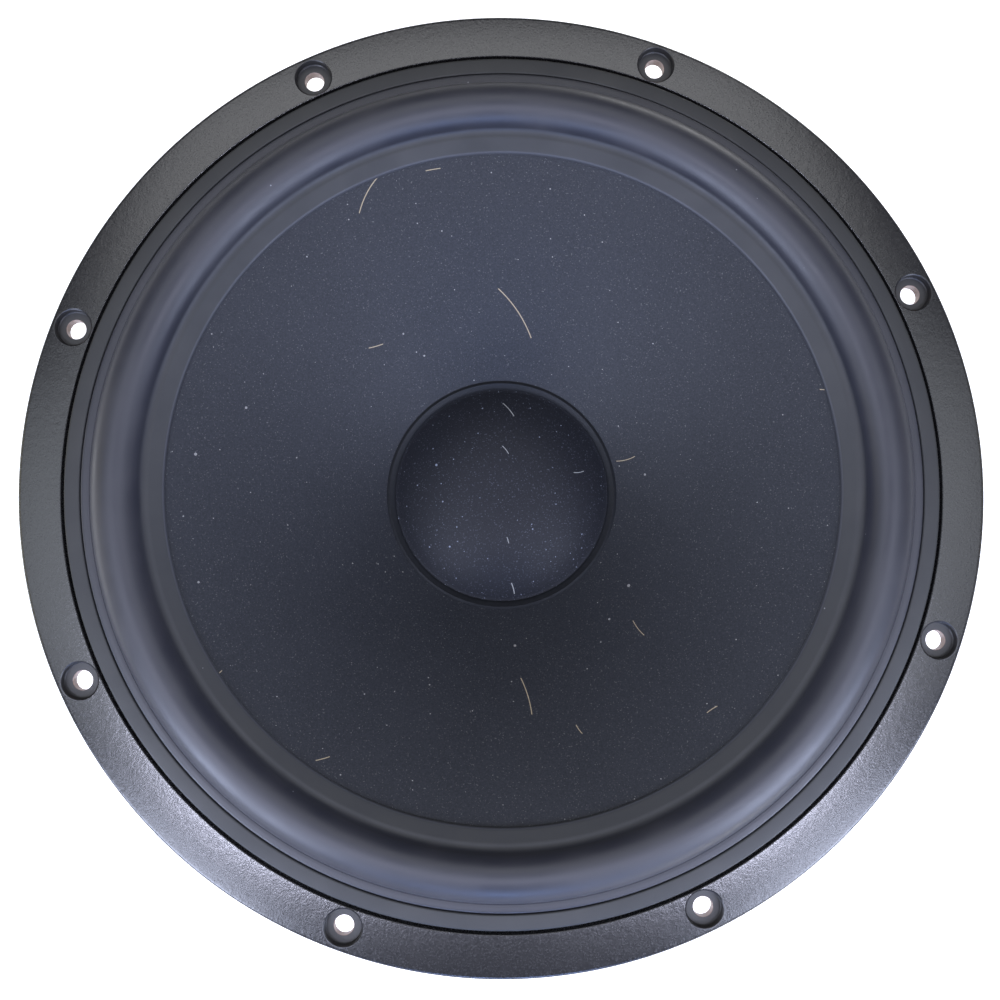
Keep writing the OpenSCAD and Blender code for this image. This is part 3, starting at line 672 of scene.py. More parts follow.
# turned metal: fine rings about the driver's axis under a dull, stained plating
def turnedMetal(name, colour, stain, roughness, ringSize):
    finish, tree, shader = newFinish(name, colour, roughness, 1.0)
    place = objectPlace(tree)
    radius = radiusOf(tree, place)
    rings = ringGrain(tree, radius, ringSize, 2.0)
    patches = grain(tree, place, 16, 4.0, 0.6)
    stained = between(tree, patches, 0.4, 0.7, 0.0, 0.7)
    wire(tree, shader,
         Base_Color=blendColour(tree, stained, colour, stain),
         Roughness=between(tree, patches, 0.3, 0.7, roughness - 0.06, roughness + 0.14),
         Normal=bump(tree, rings, 0.02))
    return finish


# the trim ring, the dark line inside it, and the rubber shoulder that the roll rises from
ringLook = {"width": 5.2, "line": 0.4, "shoulder": 3.1, "edgeRound": 0.7}
shoulderR = ringHigh.x - ringLook["width"] - ringLook["line"]
rollOuter = shoulderR - ringLook["shoulder"]

basketPaint = makeBasketPaint()
surroundRubber = makeSurroundRubber()
conePulp = makePulp("conePulp", conePulpLook)
capPulp = makePulp("capPulp", capPulpLook)
spiderCloth = makeSpiderCloth()
# colour, paler colour, roughness, grain size, grain depth, how metallic
trimPlastic = plainGrain("trimPlastic", (0.0075, 0.008, 0.0085), (0.0105, 0.011, 0.0115), 0.6,
                         0.4, 0.008, Specular_IOR_Level=0.8)
beadGlue = plainGrain("beadGlue", (0.0095, 0.0105, 0.013), (0.014, 0.015, 0.018), 0.5, 1.5,
                      0.06, Specular_IOR_Level=0.25)
bootRubber = plainGrain("bootRubber", (0.013, 0.013, 0.014), (0.024, 0.024, 0.025), 0.5, 0.5,
                        0.02)
# colour, stain, roughness, width of the turned rings
platedSteel = turnedMetal("platedSteel", (0.33, 0.31, 0.27), (0.22, 0.2, 0.15), 0.36, 0.5)
bareAluminium = turnedMetal("bareAluminium", (0.62, 0.62, 0.63), (0.5, 0.5, 0.5), 0.3, 0.4)
blackSteel = plainGrain("blackSteel", (0.02, 0.02, 0.022), (0.035, 0.035, 0.037), 0.38, 0.4,
                        0.01, 0.4)
copperWire = plainGrain("copperWire", (0.7, 0.25, 0.09), (0.85, 0.36, 0.15), 0.22, 0.6,
                        0.003, 1.0, Coat_Weight=0.3)
formerFoil = plainGrain("formerFoil", (0.5, 0.44, 0.3), (0.62, 0.56, 0.42), 0.35, 1.0, 0.003,
                        0.8)
ferrite = plainGrain("ferrite", (0.045, 0.045, 0.047), (0.085, 0.083, 0.08), 0.62, 0.9, 0.05)
amberGlue = plainGrain("amberGlue", (0.3, 0.17, 0.05), (0.46, 0.29, 0.11), 0.28, 2.0, 0.08,
                       Coat_Weight=0.4)
blockPlastic = plainGrain("blockPlastic", (0.017, 0.017, 0.018), (0.028, 0.028, 0.03), 0.48,
                          0.35, 0.02)
redPlastic = plainGrain("redPlastic", (0.4, 0.012, 0.01), (0.5, 0.022, 0.016), 0.3, 0.5, 0.004)
inkPlastic = plainGrain("inkPlastic", (0.012, 0.012, 0.013), (0.021, 0.021, 0.022), 0.3, 0.5,
                        0.004)
markPlastic = plainGrain("markPlastic", (0.34, 0.34, 0.35), (0.44, 0.44, 0.45), 0.4, 0.5,
                         0.004)
brass = plainGrain("brass", (0.68, 0.46, 0.16), (0.8, 0.6, 0.26), 0.28, 0.5, 0.003, 1.0)
brightSteel = plainGrain("brightSteel", (0.38, 0.38, 0.39), (0.5, 0.5, 0.5), 0.28, 0.5,
                         0.003, 1.0)
braid = plainGrain("braid", (0.6, 0.36, 0.2), (0.76, 0.54, 0.36), 0.36, 0.3, 0.005, 1.0)
print("finishes made")

cadFinishes = {
    "shorting_ring": (bareAluminium, "bare_aluminium"),
    "vent_screen": (blackSteel, "screen_steel"),
    "coil_former": (formerFoil, "former_foil"),
}
for nodeName, (finish, slotName) in cadFinishes.items():
    piece = frame["nodes"][nodeName]
    piece.data.materials.clear()
    piece.data.materials.append(finish)
print("finishes put on the carried-over nodes")


flangeLook = {
    "faceWidth": 14, "crown": 0.6, "rimRound": 1.2, "edgeRound": 0.4, "floor": 4,
    "innerR": 131.6, "skirt": 4, "stub": 4, "stubGap": 0.3,
}


def faceHeight(radius):
    look = flangeLook
    share = (radius - flangeR + look["faceWidth"]) / look["faceWidth"]
    return flangeTop - look["crown"] * max(share, 0) ** 2


# the flange with its recess, and a stub that reaches down inside the cast skirt
def makeFlange():
    look = flangeLook
    recess, soft = flangeR - look["faceWidth"], look["edgeRound"]
    rim = flangeR - look["rimRound"]
    outline = [(look["innerR"], 0), (look["innerR"], look["floor"]), (recess, look["floor"]),
               (recess, flangeTop - soft)]
    outline += arc(recess + soft, flangeTop - soft, soft, soft, 170, 100, 4)
    outline += [(r, faceHeight(r)) for r in steps(recess + soft, rim, 14)]
    outline += arc(rim, faceHeight(rim) - look["rimRound"], look["rimRound"],
                   look["rimRound"], 80, 0, 8)
    outside = spigotR - look["stubGap"]
    inside = spigotR - look["skirt"] + look["stubGap"]
    outline += [(flangeR, soft), (flangeR - soft, 0), (outside, 0), (outside, -look["stub"]),
                (inside, -look["stub"]), (inside, 0)]
    flange = revolve("flange", outline, basketPaint, 384)
    bolt = boltLook
    floor, top = flangeTop - bolt["depth"], faceHeight(bolt["circle"])
    bore, hole, chamfer = bolt["counterbore"], bolt["hole"], bolt["chamfer"]
    cut = [(0, -1), (hole + chamfer + 1, -1), (hole + chamfer, 0), (hole, chamfer),
           (hole, floor - 0.15), (hole + 0.15, floor), (bore - 0.3, floor),
           (bore, floor + 0.3), (bore, top - chamfer), (bore + 2, top - chamfer + 2),
           (0, top + 2)]
    places = []
    for i in range(bolt["count"]):
        a = 2 * math.pi * (i + 0.5) / bolt["count"]
        across = Vector((math.cos(a), math.sin(a), 0)) * bolt["circle"] * mm
        places.append(Matrix.Translation(across))
    cutter = revolve("cutter", cut, basketPaint, 64, places=places)
    drill = flange.modifiers.new("drill", "BOOLEAN")
    drill.object = cutter
    drill.operation = "DIFFERENCE"
    drill.solver = "EXACT"
    settle(flange, 30)
    bpy.data.objects.remove(cutter)
    takeOver(flange, "frame", "basket_cast", "basket")


castLook = {"top": -0.8, "voxel": 1.3, "passes": 5}  # top hides inside the flange


# skirt, legs, shelf and base as one casting with soft inner corners
def makeCasting():
    look = castLook
    form = bmesh.new()
    form.from_mesh(frame["nodes"]["basket"].data)
    bmesh.ops.remove_doubles(form, verts=form.verts, dist=mergeGap)
    parts = form.verts[:] + form.edges[:] + form.faces[:]
    cut = bmesh.ops.bisect_plane(form, geom=parts, plane_co=(0, 0, look["top"] * mm),
                                 plane_no=(0, 0, 1), clear_outer=True)
    rim = [e for e in cut["geom_cut"] if isinstance(e, bmesh.types.BMEdge)]
    bmesh.ops.triangle_fill(form, edges=rim, use_beauty=True, normal=(0, 0, 1))
    casting = fromForm("casting", form, basketPaint)
    melt = casting.modifiers.new("melt", "REMESH")
    melt.mode = "VOXEL"
    melt.voxel_size = look["voxel"] * mm
    relax = casting.modifiers.new("relax", "SMOOTH")
    relax.iterations = look["passes"]
    settle(casting, 70)
    casting.data.materials.clear()
    casting.data.materials.append(basketPaint)
    takeOver(casting, "frame", "basket_cast", "basket")


makeFlange()
makeCasting()
print("basket made")


def makeTrimRing():
    inner, r = ringHigh.x - ringLook["width"], ringLook["edgeRound"]
    outline = [(inner, ringLow.z), (ringHigh.x, ringLow.z)]
    outline += arc(ringHigh.x - r, ringHigh.z - r, r, r, 0, 90, 5)
    outline += arc(inner + r, ringHigh.z - r, r, r, 90, 180, 5)
    takeOver(revolve("trimRing", outline, trimPlastic), "frame", "trim_plastic", "trim_ring")


surroundLook = {
    "rollWidth": 15.8, "rollHeight": 7.2, "lipWidth": 6.8, "rubber": 1.2, "glue": 0.25,
    "seatWidth": 7.4, "footRound": 0.5, "valleyWidth": 2.2,
}
coneLook = {"flare": 3.6, "thickness": 1.4}
rollInner = rollOuter - surroundLook["rollWidth"]
lipInner = rollInner - surroundLook["lipWidth"]
neckR = formerHigh.x + surroundLook["glue"]
neckZ = coneLow.z + coneLook["thickness"]
coneR = coneHigh.x


def coneFace(radius):
    share = (radius - neckR) / (coneR - neckR)
    bow = 4 * coneLook["flare"] * share * (1 - share)
    return neckZ + (coneHigh.z - neckZ) * share + bow


def makeSurround():
    look = surroundLook
    rubber, glue = look["rubber"], look["glue"]
    outer, seat = rubberHigh.x, rubberLow.z
    middle, half = (rollOuter + rollInner) / 2, look["rollWidth"] / 2
    foot = rubberHigh.z - look["rollHeight"]
    under = foot - rubber
    lip = [(r, coneFace(r)) for r in steps(lipInner, coneR + 0.3, 8)]
    outline = [(outer, seat), (outer, seat + rubber), (shoulderR, seat + rubber)]
    soft = look["footRound"]
    outline += arc(shoulderR - soft, foot - 0.3, soft, soft, 0, 90, 4)
    outline += [(rollOuter + 0.6, foot + 0.24), (rollOuter + 0.2, foot + 0.1)]
    outline += arc(middle, foot, half - 0.1, look["rollHeight"], 3, 162, 40)
    valley, lipTop, lift = outline[-1], rollInner - look["valleyWidth"], glue + rubber
    outline += hollow(valley, (rollInner + 0.05, foot + 0.3),
                      (lipTop, coneFace(lipTop) + lift), 10)
    outline += [(r, coneFace(r) + lift) for r in steps(lipTop - 0.5, lipInner + 0.5, 8)]
    outline += [(lipInner + 0.15, coneFace(lipInner) + lift - 0.15),
                (lipInner, coneFace(lipInner) + lift - 0.5)]
    outline += [(r, z + glue) for r, z in lip]
    outline += [(rollInner - 0.3, under), (rollInner + rubber, under)]
    outline += arc(middle, under, half - rubber, look["rollHeight"], 180, 0, 32)
    inside = outer - look["seatWidth"]
    outline += [(rollOuter - rubber + 0.2, under - 0.6), (inside, under - 0.6), (inside, seat)]
    piece = revolve("rubberSurround", outline, surroundRubber, 320)
    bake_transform(piece)
    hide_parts("surround")


makeTrimRing()
makeSurround()
print("trim ring and surround made")


def makeCone():
    radii = steps(neckR, coneR, 60)
    outline = [(r, coneFace(r)) for r in radii]
    outline += [(r, coneFace(r) - coneLook["thickness"]) for r in reversed(radii)]
    takeOver(revolve("paperCone", outline, conePulp, 320), "cone_assembly", "cone_pulp", "cone")


capLook = {"wall": 0.8, "foot": 1.5, "fullness": 2.7}  # a higher fullness is a flatter crown
beadLook = {"rise": 0.45, "crest": 0.4, "gap": 0.05}


def makeDustCap():
    look = capLook
    edge = capHigh.x - look["foot"]
    lift = surroundLook["glue"] + look["wall"]
    rim = coneFace(edge) + lift
    rise = capHigh.z - rim
    glue = surroundLook["glue"]

    def dome(radius):
        return rim + rise * (1 - (radius / edge) ** look["fullness"])

    outline = [(r, dome(r)) for r in steps(0, edge - 0.3, 44)]
    out, wall = capHigh.x, look["wall"]
    outline += [(edge + 0.1, rim + 0.12), (edge + 0.6, coneFace(edge + 0.6) + lift),
                (out, coneFace(out) + lift), (out, coneFace(out) + glue),
                (edge - wall, coneFace(edge - wall) + glue)]
    outline += [(r, dome(r) - wall) for r in steps(edge - 1.6 * wall, 0, 44)]
    takeOver(revolve("dustCap", outline, capPulp), "cone_assembly", "cap_pulp", "dust_cap")


def makeBead():
    look, gap = beadLook, beadLook["gap"]
    edge, out, inside = capHigh.x - capLook["foot"], beadHigh.x, capHigh.x + gap
    lift = surroundLook["glue"] + capLook["wall"] + 0.04
    outline = [(edge + gap, coneFace(edge) + lift),
               (edge + 0.2, coneFace(edge) + lift + look["rise"])]
    crest = lift + look["crest"]
    outline += [(r, coneFace(r) + crest) for r in steps(edge + 0.7, out - 1.0, 4)]
    outline += [(out - 0.4, coneFace(out) + 0.35), (out - gap, coneFace(out) + 0.1),
                (out, coneFace(out) + gap), (inside, coneFace(capHigh.x) + gap),
                (inside, coneFace(capHigh.x) + lift)]
    takeOver(revolve("capBead", outline, beadGlue, 256, 60), "cone_assembly", "bead_glue",
             "cap_bead")


makeCone()
makeDustCap()
makeBead()
print("cone, dust cap and bead made")


spiderLook = {
    "ripples": 5, "foot": 5, "band": 40, "height": 2.2, "cloth": 0.7, "collarGap": 0.35,
}


def makeSpider():
    look = spiderLook
    middle = (spiderLow.z + spiderHigh.z) / 2
    first, last = neckR + look["foot"], neckR + look["foot"] + look["band"]

    def ripple(radius):
        if not first < radius < last:
            return 0
        return look["height"] * math.sin(2 * math.pi * look["ripples"]
                                         * (radius - first) / look["band"])

    radii = [formerHigh.x + look["collarGap"], first - 1, *steps(first, last, 80), last + 1,
             spiderHigh.x]
    half = look["cloth"] / 2
    outline = [(r, middle + ripple(r) + half) for r in radii]
    outline += [(r, middle + ripple(r) - half) for r in reversed(radii)]
    piece = revolve("spiderDisc", outline, spiderCloth, 224, 60)
    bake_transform(piece)
    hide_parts("spider")


# wavers a lathed bead of glue so that it looks laid by hand
def waver(piece, size, amount):
    for vertex in piece.data.vertices:
        push = noise.noise(vertex.co / (size * mm))
        vertex.co += vertex.normal * push * amount * mm


glueLook = {"high": 4, "reach": 1 / 18, "waveSize": 6, "waveDepth": 0.06}


def makeNeckGlue():
    look = glueLook
    back, wall = neckZ - coneLook["thickness"], formerHigh.x
    reach = neckR + (coneR - neckR) * look["reach"]
    outline = [(wall, back - look["high"])]
    outline += hollow((wall + 0.1, back - look["high"] + 0.05), (neckR + 0.9, back - 1.2),
                      (reach - 0.4, coneFace(reach - 0.4) - coneLook["thickness"] - 0.06), 10)
    outline += [(neckR, back - 0.06), (neckR, neckZ), (wall, neckZ + 0.75)]
    glue = revolve("neckGlue", outline, amberGlue, 200, 60)
    waver(glue, look["waveSize"], look["waveDepth"])
    takeOver(glue, "cone_assembly", "neck_glue", "neck_glue")


# a wire wound about an axis, from its low end up
def coilTree(name, finish, facing):
    tree, given = newTree(name, {"Turns": "Float", "Radius": "Float", "Length": "Float",
                                 "Wire": "Float", "Steps": "Int", "Place": "Vector"})
    spiral = addNode(tree, "GeometryNodeCurveSpiral",
                     {"Resolution": given["Steps"], "Rotations": given["Turns"],
                      "Start Radius": given["Radius"], "End Radius": given["Radius"],
                      "Height": given["Length"]})
    section = addNode(tree, "GeometryNodeCurvePrimitiveCircle",
                      {"Resolution": 6, "Radius": given["Wire"]})
    wound = addNode(tree, "GeometryNodeCurveToMesh",
                    {"Curve": spiral.outputs[0], "Profile Curve": section.outputs[0],
                     "Fill Caps": True})
    placed = addNode(tree, "GeometryNodeTransform",
                     {"Geometry": wound.outputs[0], "Translation": given["Place"],
                      "Rotation": Euler(facing)})
    endTree(tree, placed.outputs[0], finish)
    return tree


windingLook = {"wire": 0.3, "steps": 96}


def makeWinding():
    look = windingLook
    thick, high = look["wire"], windingHigh.z - windingLow.z
    tree = coilTree("windingTree", copperWire, (0, 0, 0))
    turns = grow("windingTurns", tree, {
        "Turns": (high - 2 * thick) / (2 * thick), "Radius": (windingHigh.x - thick) * mm,
        "Length": (high - 2 * thick) * mm, "Wire": thick * mm, "Steps": look["steps"],
        "Place": (0, 0, (windingLow.z + thick) * mm)}, 60)
    takeOver(turns, "cone_assembly", "copper", "coil_winding")
    outline = boxed(formerHigh.x, windingHigh.x - thick, windingLow.z, windingHigh.z, 0.2, 2)
    takeOver(revolve("windingCore", outline, copperWire, 192), "cone_assembly", "copper",
             "coil_winding")


makeSpider()
makeNeckGlue()
makeWinding()
print("spider, glue and winding made")


motorLook = {
    "gapR": 35, "magnetInner": 42, "ventR": 11, "ventFlare": 5, "flareHeight": 6,
    "poleR": 32, "backThick": 8, "plateEdge": 0.6, "magnetEdge": 1.2, "yokeEdge": 0.8,
}
bootLook = {
    "hole": 27, "wall": 2.6, "footRound": 4, "lipRound": 1.1,
    "grooves": 3, "firstGroove": 14, "lastGroove": 12, "grooveDeep": 0.7, "grooveHigh": 0.9,
}


def makeMotor():
    look = motorLook
    outline = boxed(look["gapR"], plateHigh.x, plateLow.z, plateHigh.z, look["plateEdge"])
    takeOver(revolve("frontPlate", outline, platedSteel), "frame", "plated_steel",
             "front_plate")
    for name, node in (("frontMagnet", "front_magnet"), ("rearMagnet", "rear_magnet")):
        low, high = corners(node)
        outline = boxed(look["magnetInner"], high.x, low.z, high.z, look["magnetEdge"])
        takeOver(revolve(name, outline, ferrite), "frame", "ferrite", node)
    bottom, backTop, top = yokeLow.z, yokeLow.z + look["backThick"], yokeHigh.z
    outline = [(look["ventR"], bottom + look["flareHeight"]),
               (look["ventR"] + look["ventFlare"], bottom), (yokeHigh.x, bottom),
               (yokeHigh.x, backTop), (look["poleR"], backTop), (look["poleR"], top),
               (look["ventR"], top)]
    takeOver(revolve("poleYoke", rounded(outline, look["yokeEdge"]), platedSteel), "frame",
             "plated_steel", "yoke")


def makeBoot():
    look = bootLook
    outer, wall = bootHigh.x, bootHigh.x - look["wall"]
    foot, lip = look["footRound"], look["lipRound"]
    outline = [(look["hole"], bootLow.z), (outer - foot, bootLow.z)]
    outline += arc(outer - foot, bootLow.z + foot, foot, foot, -82, 0, 8)
    first, last = bootLow.z + look["firstGroove"], bootHigh.z - look["lastGroove"]
    deep, high = look["grooveDeep"], look["grooveHigh"]
    for height in steps(first, last, look["grooves"] - 1):
        outline += arc(outer + 0.1, height, deep, high, -98, -262, 6)
    outline += arc(outer - lip, bootHigh.z - lip, lip, lip, 0, 90, 4)
    outline += [(wall + 0.3, bootHigh.z), (wall, bootHigh.z - 0.3), (wall, yokeLow.z),
                (look["hole"], yokeLow.z)]
    takeOver(revolve("magnetBoot", outline, bootRubber), "frame", "boot_rubber", "magnet_boot")


screwLook = {
    "count": 6, "thread": 2.5, "head": 4.25, "headHigh": 5, "socket": 2.15,
    "knurls": 36, "knurlDeep": 0.03, "turnBetween": 2.4,
}


# a socket head screw about the origin, its head's underside at height 0
def makeScrewPattern():
    look = screwLook
    form = bmesh.new()
    head, high, socket = look["head"], look["headHigh"], look["socket"]
    shank = headHigh.z - high - headLow.z
    lathe(form, [(0, -shank), (look["thread"] - 0.4, -shank), (look["thread"], -shank + 0.4),
                 (look["thread"], 0), (head - 0.3, 0), (head, 0.3), (head, high - 0.6),
                 (head - 0.2, high - 0.2), (head - 0.6, high), (socket + 0.25, high),
                 (socket, high - 0.25), (socket, high / 2), (0, high / 2 - 0.8)],
          2 * look["knurls"])
    for vertex in form.verts:
        radius = math.hypot(vertex.co.x, vertex.co.y) / mm
        turn, height = math.atan2(vertex.co.y, vertex.co.x), vertex.co.z / mm
        if radius > head - 0.05 and height > 0.2:
            vertex.co.xy *= 1 - look["knurlDeep"] * (math.cos(look["knurls"] * turn) < 0)
        elif 1 < radius < socket + 0.1 and height > high / 2 - 0.1:
            flat = (turn % (math.pi / 3)) - math.pi / 6
            vertex.co.xy *= math.cos(math.pi / 6) / math.cos(flat) * 1.1
    return fromForm("screwPattern", form, blackSteel, 30)


# the screws stand half a step off the x axis, so the widest head gives their circle
def screwCircle():
    return (headHigh.x - screwLook["head"]) / math.cos(math.pi / screwLook["count"])


def makeMotorScrews():
    look = screwLook
    pattern = makeScrewPattern()
    tree, given = newTree("screwRingTree", {"Count": "Int", "Radius": "Float",
                                            "Height": "Float", "Screw": "Object"})
    ring = addNode(tree, "GeometryNodeMeshCircle",
                   {"Vertices": given["Count"], "Radius": given["Radius"]})
    lift = addNode(tree, "ShaderNodeCombineXYZ", {2: given["Height"]})
    raised = addNode(tree, "GeometryNodeTransform",
                     {"Geometry": ring.outputs[0], "Translation": lift.outputs[0],
                      "Rotation": Euler((0, 0, math.pi / look["count"]))})
    screw = addNode(tree, "GeometryNodeObjectInfo", {"Object": given["Screw"]})
    index = addNode(tree, "GeometryNodeInputIndex")
    turn = times(tree, index.outputs[0], look["turnBetween"])
    spin = addNode(tree, "ShaderNodeCombineXYZ", {2: turn})
    turned = addNode(tree, "FunctionNodeEulerToRotation", {0: spin.outputs[0]})
    copies = addNode(tree, "GeometryNodeInstanceOnPoints",
                     {"Points": raised.outputs[0], "Instance": screw.outputs["Geometry"],
                      "Rotation": turned.outputs[0]})
    endTree(tree, copies.outputs[0], blackSteel)
    screws = grow("motorScrews", tree, {
        "Count": look["count"], "Radius": screwCircle() * mm,
        "Height": (headHigh.z - look["headHigh"]) * mm, "Screw": pattern}, 30)
    bpy.data.objects.remove(pattern)
    takeOver(screws, "frame", "black_screws", "motor_screws")


makeMotor()
makeBoot()
makeMotorScrews()
print("motor made")


terminalLook = {
    "pitch": 18, "buttonR": 3.9, "buttonRound": 0.8, "pinR": 1.55, "pinSunk": 1.9, "dish": 0.5,
    "turns": 5, "springWire": 0.36, "springR": 3.4, "springSteps": 40,
}


# a piece that points outwards along -y from the given place
def facingOut(x, y, z):
    return Matrix.Translation(Vector((x, y, z)) * mm) @ Matrix.Rotation(math.pi / 2, 4, "X")


def makeButton(side, finish, slotName):
    look = terminalLook
    low, high = corners(side + "_button")
    x, z = (low.x + high.x) / 2, (low.z + high.z) / 2
    length, radius, soft = high.y - low.y, look["buttonR"], look["buttonRound"]
    outline = [(look["pinR"], 0), (radius - 0.2, 0), (radius, 0.2), (radius, length - 1)]
    outline += arc(radius - soft, length - soft, soft, soft, 0, 90, 5)
    outline += [(radius * 0.5, length - look["dish"] * 0.7), (0, length - look["dish"]),
                (0, length - look["pinSunk"]), (look["pinR"], length - look["pinSunk"])]
    button = revolve(side + "Button", outline, finish, 64, places=[facingOut(x, high.y, z)])
    takeOver(button, side + "_push", slotName, side + "_button")


def makeSpring(side, tree):
    look = terminalLook
    low, high = corners(side + "_spring")
    x, z = (low.x + high.x) / 2, (low.z + high.z) / 2
    thick = look["springWire"]
    spring = grow(side + "Spring", tree, {
        "Turns": look["turns"], "Radius": look["springR"] * mm,
        "Length": (high.y - low.y - 2 * thick) * mm, "Wire": thick * mm,
        "Steps": look["springSteps"],
        "Place": Vector((x, high.y - thick, z)) * mm}, 60)
    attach(spring, "frame")
    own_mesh(spring)
    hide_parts(side + "_spring")


markLook = {"arm": 1.6, "half": 0.4, "proud": 0.25, "sunk": 0.2, "above": 7.4, "edge": 0.1}


# a raised sign on the terminal cover, drawn as one outline
def makeMark(name, x, outline, finish):
    look = markLook
    face, z = coverLow.y, (coverLow.z + coverHigh.z) / 2 + look["above"]
    form = bmesh.new()
    backs, fronts = ([form.verts.new(Vector((x + across, y, z + up)) * mm)
                      for across, up in outline]
                     for y in (face + look["sunk"], face - look["proud"]))
    form.faces.new(backs)
    form.faces.new(fronts)
    for i in range(len(outline)):
        form.faces.new((backs[i - 1], backs[i], fronts[i], fronts[i - 1]))
    bmesh.ops.recalc_face_normals(form, faces=form.faces)
    piece = fromForm(name, form, finish)
    roundEdges(piece, look["edge"])
    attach(piece, "frame")


def makeMarks():
    arm, half = markLook["arm"], markLook["half"]
    corner = [(arm, -half), (arm, half), (half, half)]
    cross = []
    for turn in range(4):
        cross += corner
        corner = [(-up, across) for across, up in corner]
    bar = [(arm, -half), (arm, half), (-arm, half), (-arm, -half)]
    side = terminalLook["pitch"] / 2
    makeMark("plusMark", side, cross, redPlastic)
    makeMark("minusMark", -side, bar, markPlastic)


leadLook = {"strands": 12, "turns": 13, "braidR": 0.82, "wire": 0.25, "samples": 140,
            "overlap": 0.1, "rise": 30, "droop": 30, "padR": 62, "padHigh": 1.4, "padWide": 3.0,
            "padWave": 2.5, "padDepth": 0.15, "tabDrop": 2.2, "tabGap": 1.2}


def coneBack(y):
    return coneFace(math.hypot(terminalLook["pitch"] / 2, y)) - coneLook["thickness"]


# twelve fine wires, half of them wound each way, along a bezier path
def braidTree():
    tree, given = newTree("braidTree", {
        "Start": "Vector", "Start Handle": "Vector", "End Handle": "Vector", "End": "Vector",
        "Strands": "Int", "Turns": "Float", "Braid Radius": "Float", "Wire": "Float",
        "Samples": "Int"})
    path = addNode(tree, "GeometryNodeCurvePrimitiveBezierSegment",
                   {"Resolution": 60, "Start": given["Start"],
                    "Start Handle": given["Start Handle"], "End Handle": given["End Handle"],
                    "End": given["End"]}, mode="POSITION")
    even = addNode(tree, "GeometryNodeResampleCurve",
                   {"Curve": path.outputs[0], "Count": given["Samples"]})
    many = addNode(tree, "GeometryNodeDuplicateElements",
                   {"Geometry": even.outputs[0], "Amount": given["Strands"]}, domain="SPLINE")
    number = many.outputs[1]
    along = addNode(tree, "GeometryNodeSplineParameter").outputs["Factor"]
    way = between(tree, calc(tree, "MODULO", number, 2.0), 0, 1, -1, 1)
    winding = times(tree, times(tree, along, given["Turns"]), times(tree, way, 2 * math.pi))
    share = calc(tree, "DIVIDE", number, given["Strands"])
    angle = calc(tree, "ADD", winding, times(tree, share, 2 * math.pi))
    over = calc(tree, "SINE", times(tree, angle, 3.0))
    lift = times(tree, times(tree, over, way), leadLook["overlap"] * mm)
    reach = calc(tree, "ADD", given["Braid Radius"], lift)
    normal = addNode(tree, "GeometryNodeInputNormal").outputs[0]
    tangent = addNode(tree, "GeometryNodeInputTangent").outputs[0]
    side = vectorCalc(tree, "CROSS_PRODUCT", tangent, normal)
    offset = vectorCalc(tree, "ADD",
                        scaled(tree, normal, times(tree, calc(tree, "COSINE", angle), reach)),
                        scaled(tree, side, times(tree, calc(tree, "SINE", angle), reach)))
    moved = addNode(tree, "GeometryNodeSetPosition",
                    {"Geometry": many.outputs[0], "Offset": offset})
    section = addNode(tree, "GeometryNodeCurvePrimitiveCircle",
                      {"Resolution": 6, "Radius": given["Wire"]})
    wound = addNode(tree, "GeometryNodeCurveToMesh",
                    {"Curve": moved.outputs[0], "Profile Curve": section.outputs[0],
                     "Fill Caps": True})
    endTree(tree, wound.outputs[0], braid)
    return tree


# where a lead meets the glue pad on the cone's back, and the way out of that face
def padSpot(x):
    y = leadLook["padR"]
    slope = math.atan(coneBack(y + 0.5) - coneBack(y - 0.5))
    return Vector((x, -y, coneBack(y))), Vector((0, -math.sin(slope), -math.cos(slope)))


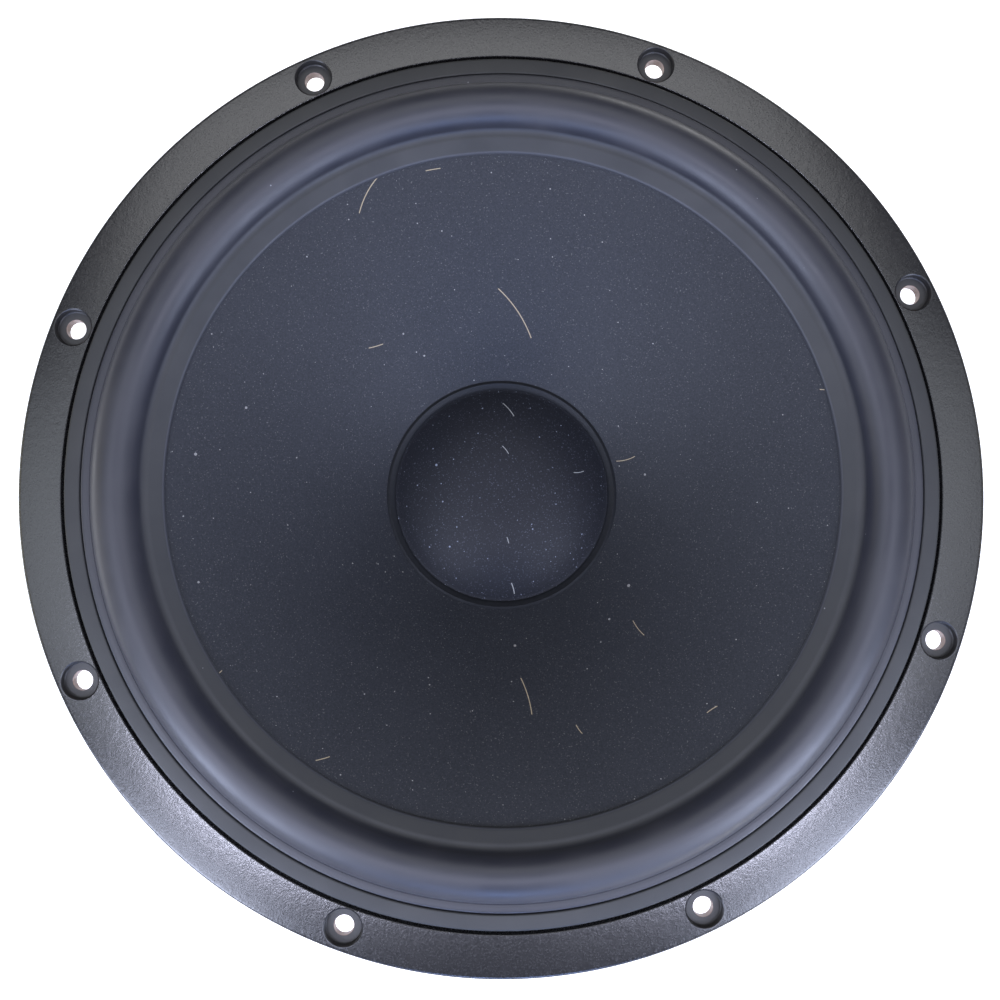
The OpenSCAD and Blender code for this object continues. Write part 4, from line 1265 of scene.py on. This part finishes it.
def makeLead(side, x, tree):
    look = leadLook
    low, high = corners(side + "_contact")
    start = Vector((x, low.y - look["tabGap"], high.z - look["tabDrop"]))
    spot, out = padSpot(x)
    end = spot + out * (surroundLook["glue"] + look["padHigh"] + 0.1)
    lead = grow(side + "Lead", tree, {
        "Start": start * mm, "Start Handle": (start + Vector((0, -3, look["rise"]))) * mm,
        "End Handle": (end + out * look["droop"]) * mm, "End": end * mm,
        "Strands": look["strands"], "Turns": look["turns"],
        "Braid Radius": look["braidR"] * mm, "Wire": look["wire"] * mm,
        "Samples": look["samples"]}, 60)
    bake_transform(lead)
    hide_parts(side + "_lead")


def makePads():
    look = leadLook
    wide, high = look["padWide"], look["padHigh"]
    dome = [(0, -0.1), (wide, -0.1)] + hollow((wide, 0.1), (wide * 0.8, high), (0, high), 8)
    places = []
    for x in (-terminalLook["pitch"] / 2, terminalLook["pitch"] / 2):
        spot, out = padSpot(x)
        turn = out.to_track_quat("Z", "Y").to_matrix().to_4x4()
        places.append(Matrix.Translation((spot + out * surroundLook["glue"]) * mm) @ turn)
    pads = revolve("leadPads", dome, amberGlue, 48, places=places)
    waver(pads, look["padWave"], look["padDepth"])
    takeOver(pads, "cone_assembly", "neck_glue", "lead_pads")


print("making the terminals")
for side, finish, slotName in (("plus", redPlastic, "red_plastic"),
                               ("minus", inkPlastic, "black_plastic")):
    makeButton(side, finish, slotName)
    takeOver(softCopy(side + "Plunger", side + "_plunger", brightSteel, 0.2), side + "_push",
             "plunger_metal", side + "_plunger")
    takeOver(softCopy(side + "Contact", side + "_contact", brass, 0.12), "frame",
             "contact_brass", side + "_contact")
springTree = coilTree("springTree", brightSteel, (math.pi / 2, 0, 0))
braidedTree = braidTree()
for side, way in (("plus", 1), ("minus", -1)):
    makeSpring(side, springTree)
    makeLead(side, way * terminalLook["pitch"] / 2, braidedTree)
makePads()
makeMarks()
softPieces = {
    "terminalBlock": ("terminal_block", blockPlastic, "terminal_plastic", "frame", 0.45),
    "terminalCover": ("terminal_cover", blockPlastic, "terminal_plastic", "frame", 0.35),
    "coverScrews": ("cover_screws", brightSteel, "bright_screws", "frame", 0.15),
    "blockScrews": ("block_screws", brightSteel, "bright_screws", "frame", 0.15),
    "coilLeads": ("coil_leads", copperWire, "copper", "cone_assembly", 0.1),
}
for name, (node, finish, slotName, body, width) in softPieces.items():
    takeOver(softCopy(name, node, finish, width), body, slotName, node)
print("terminals and leads made")
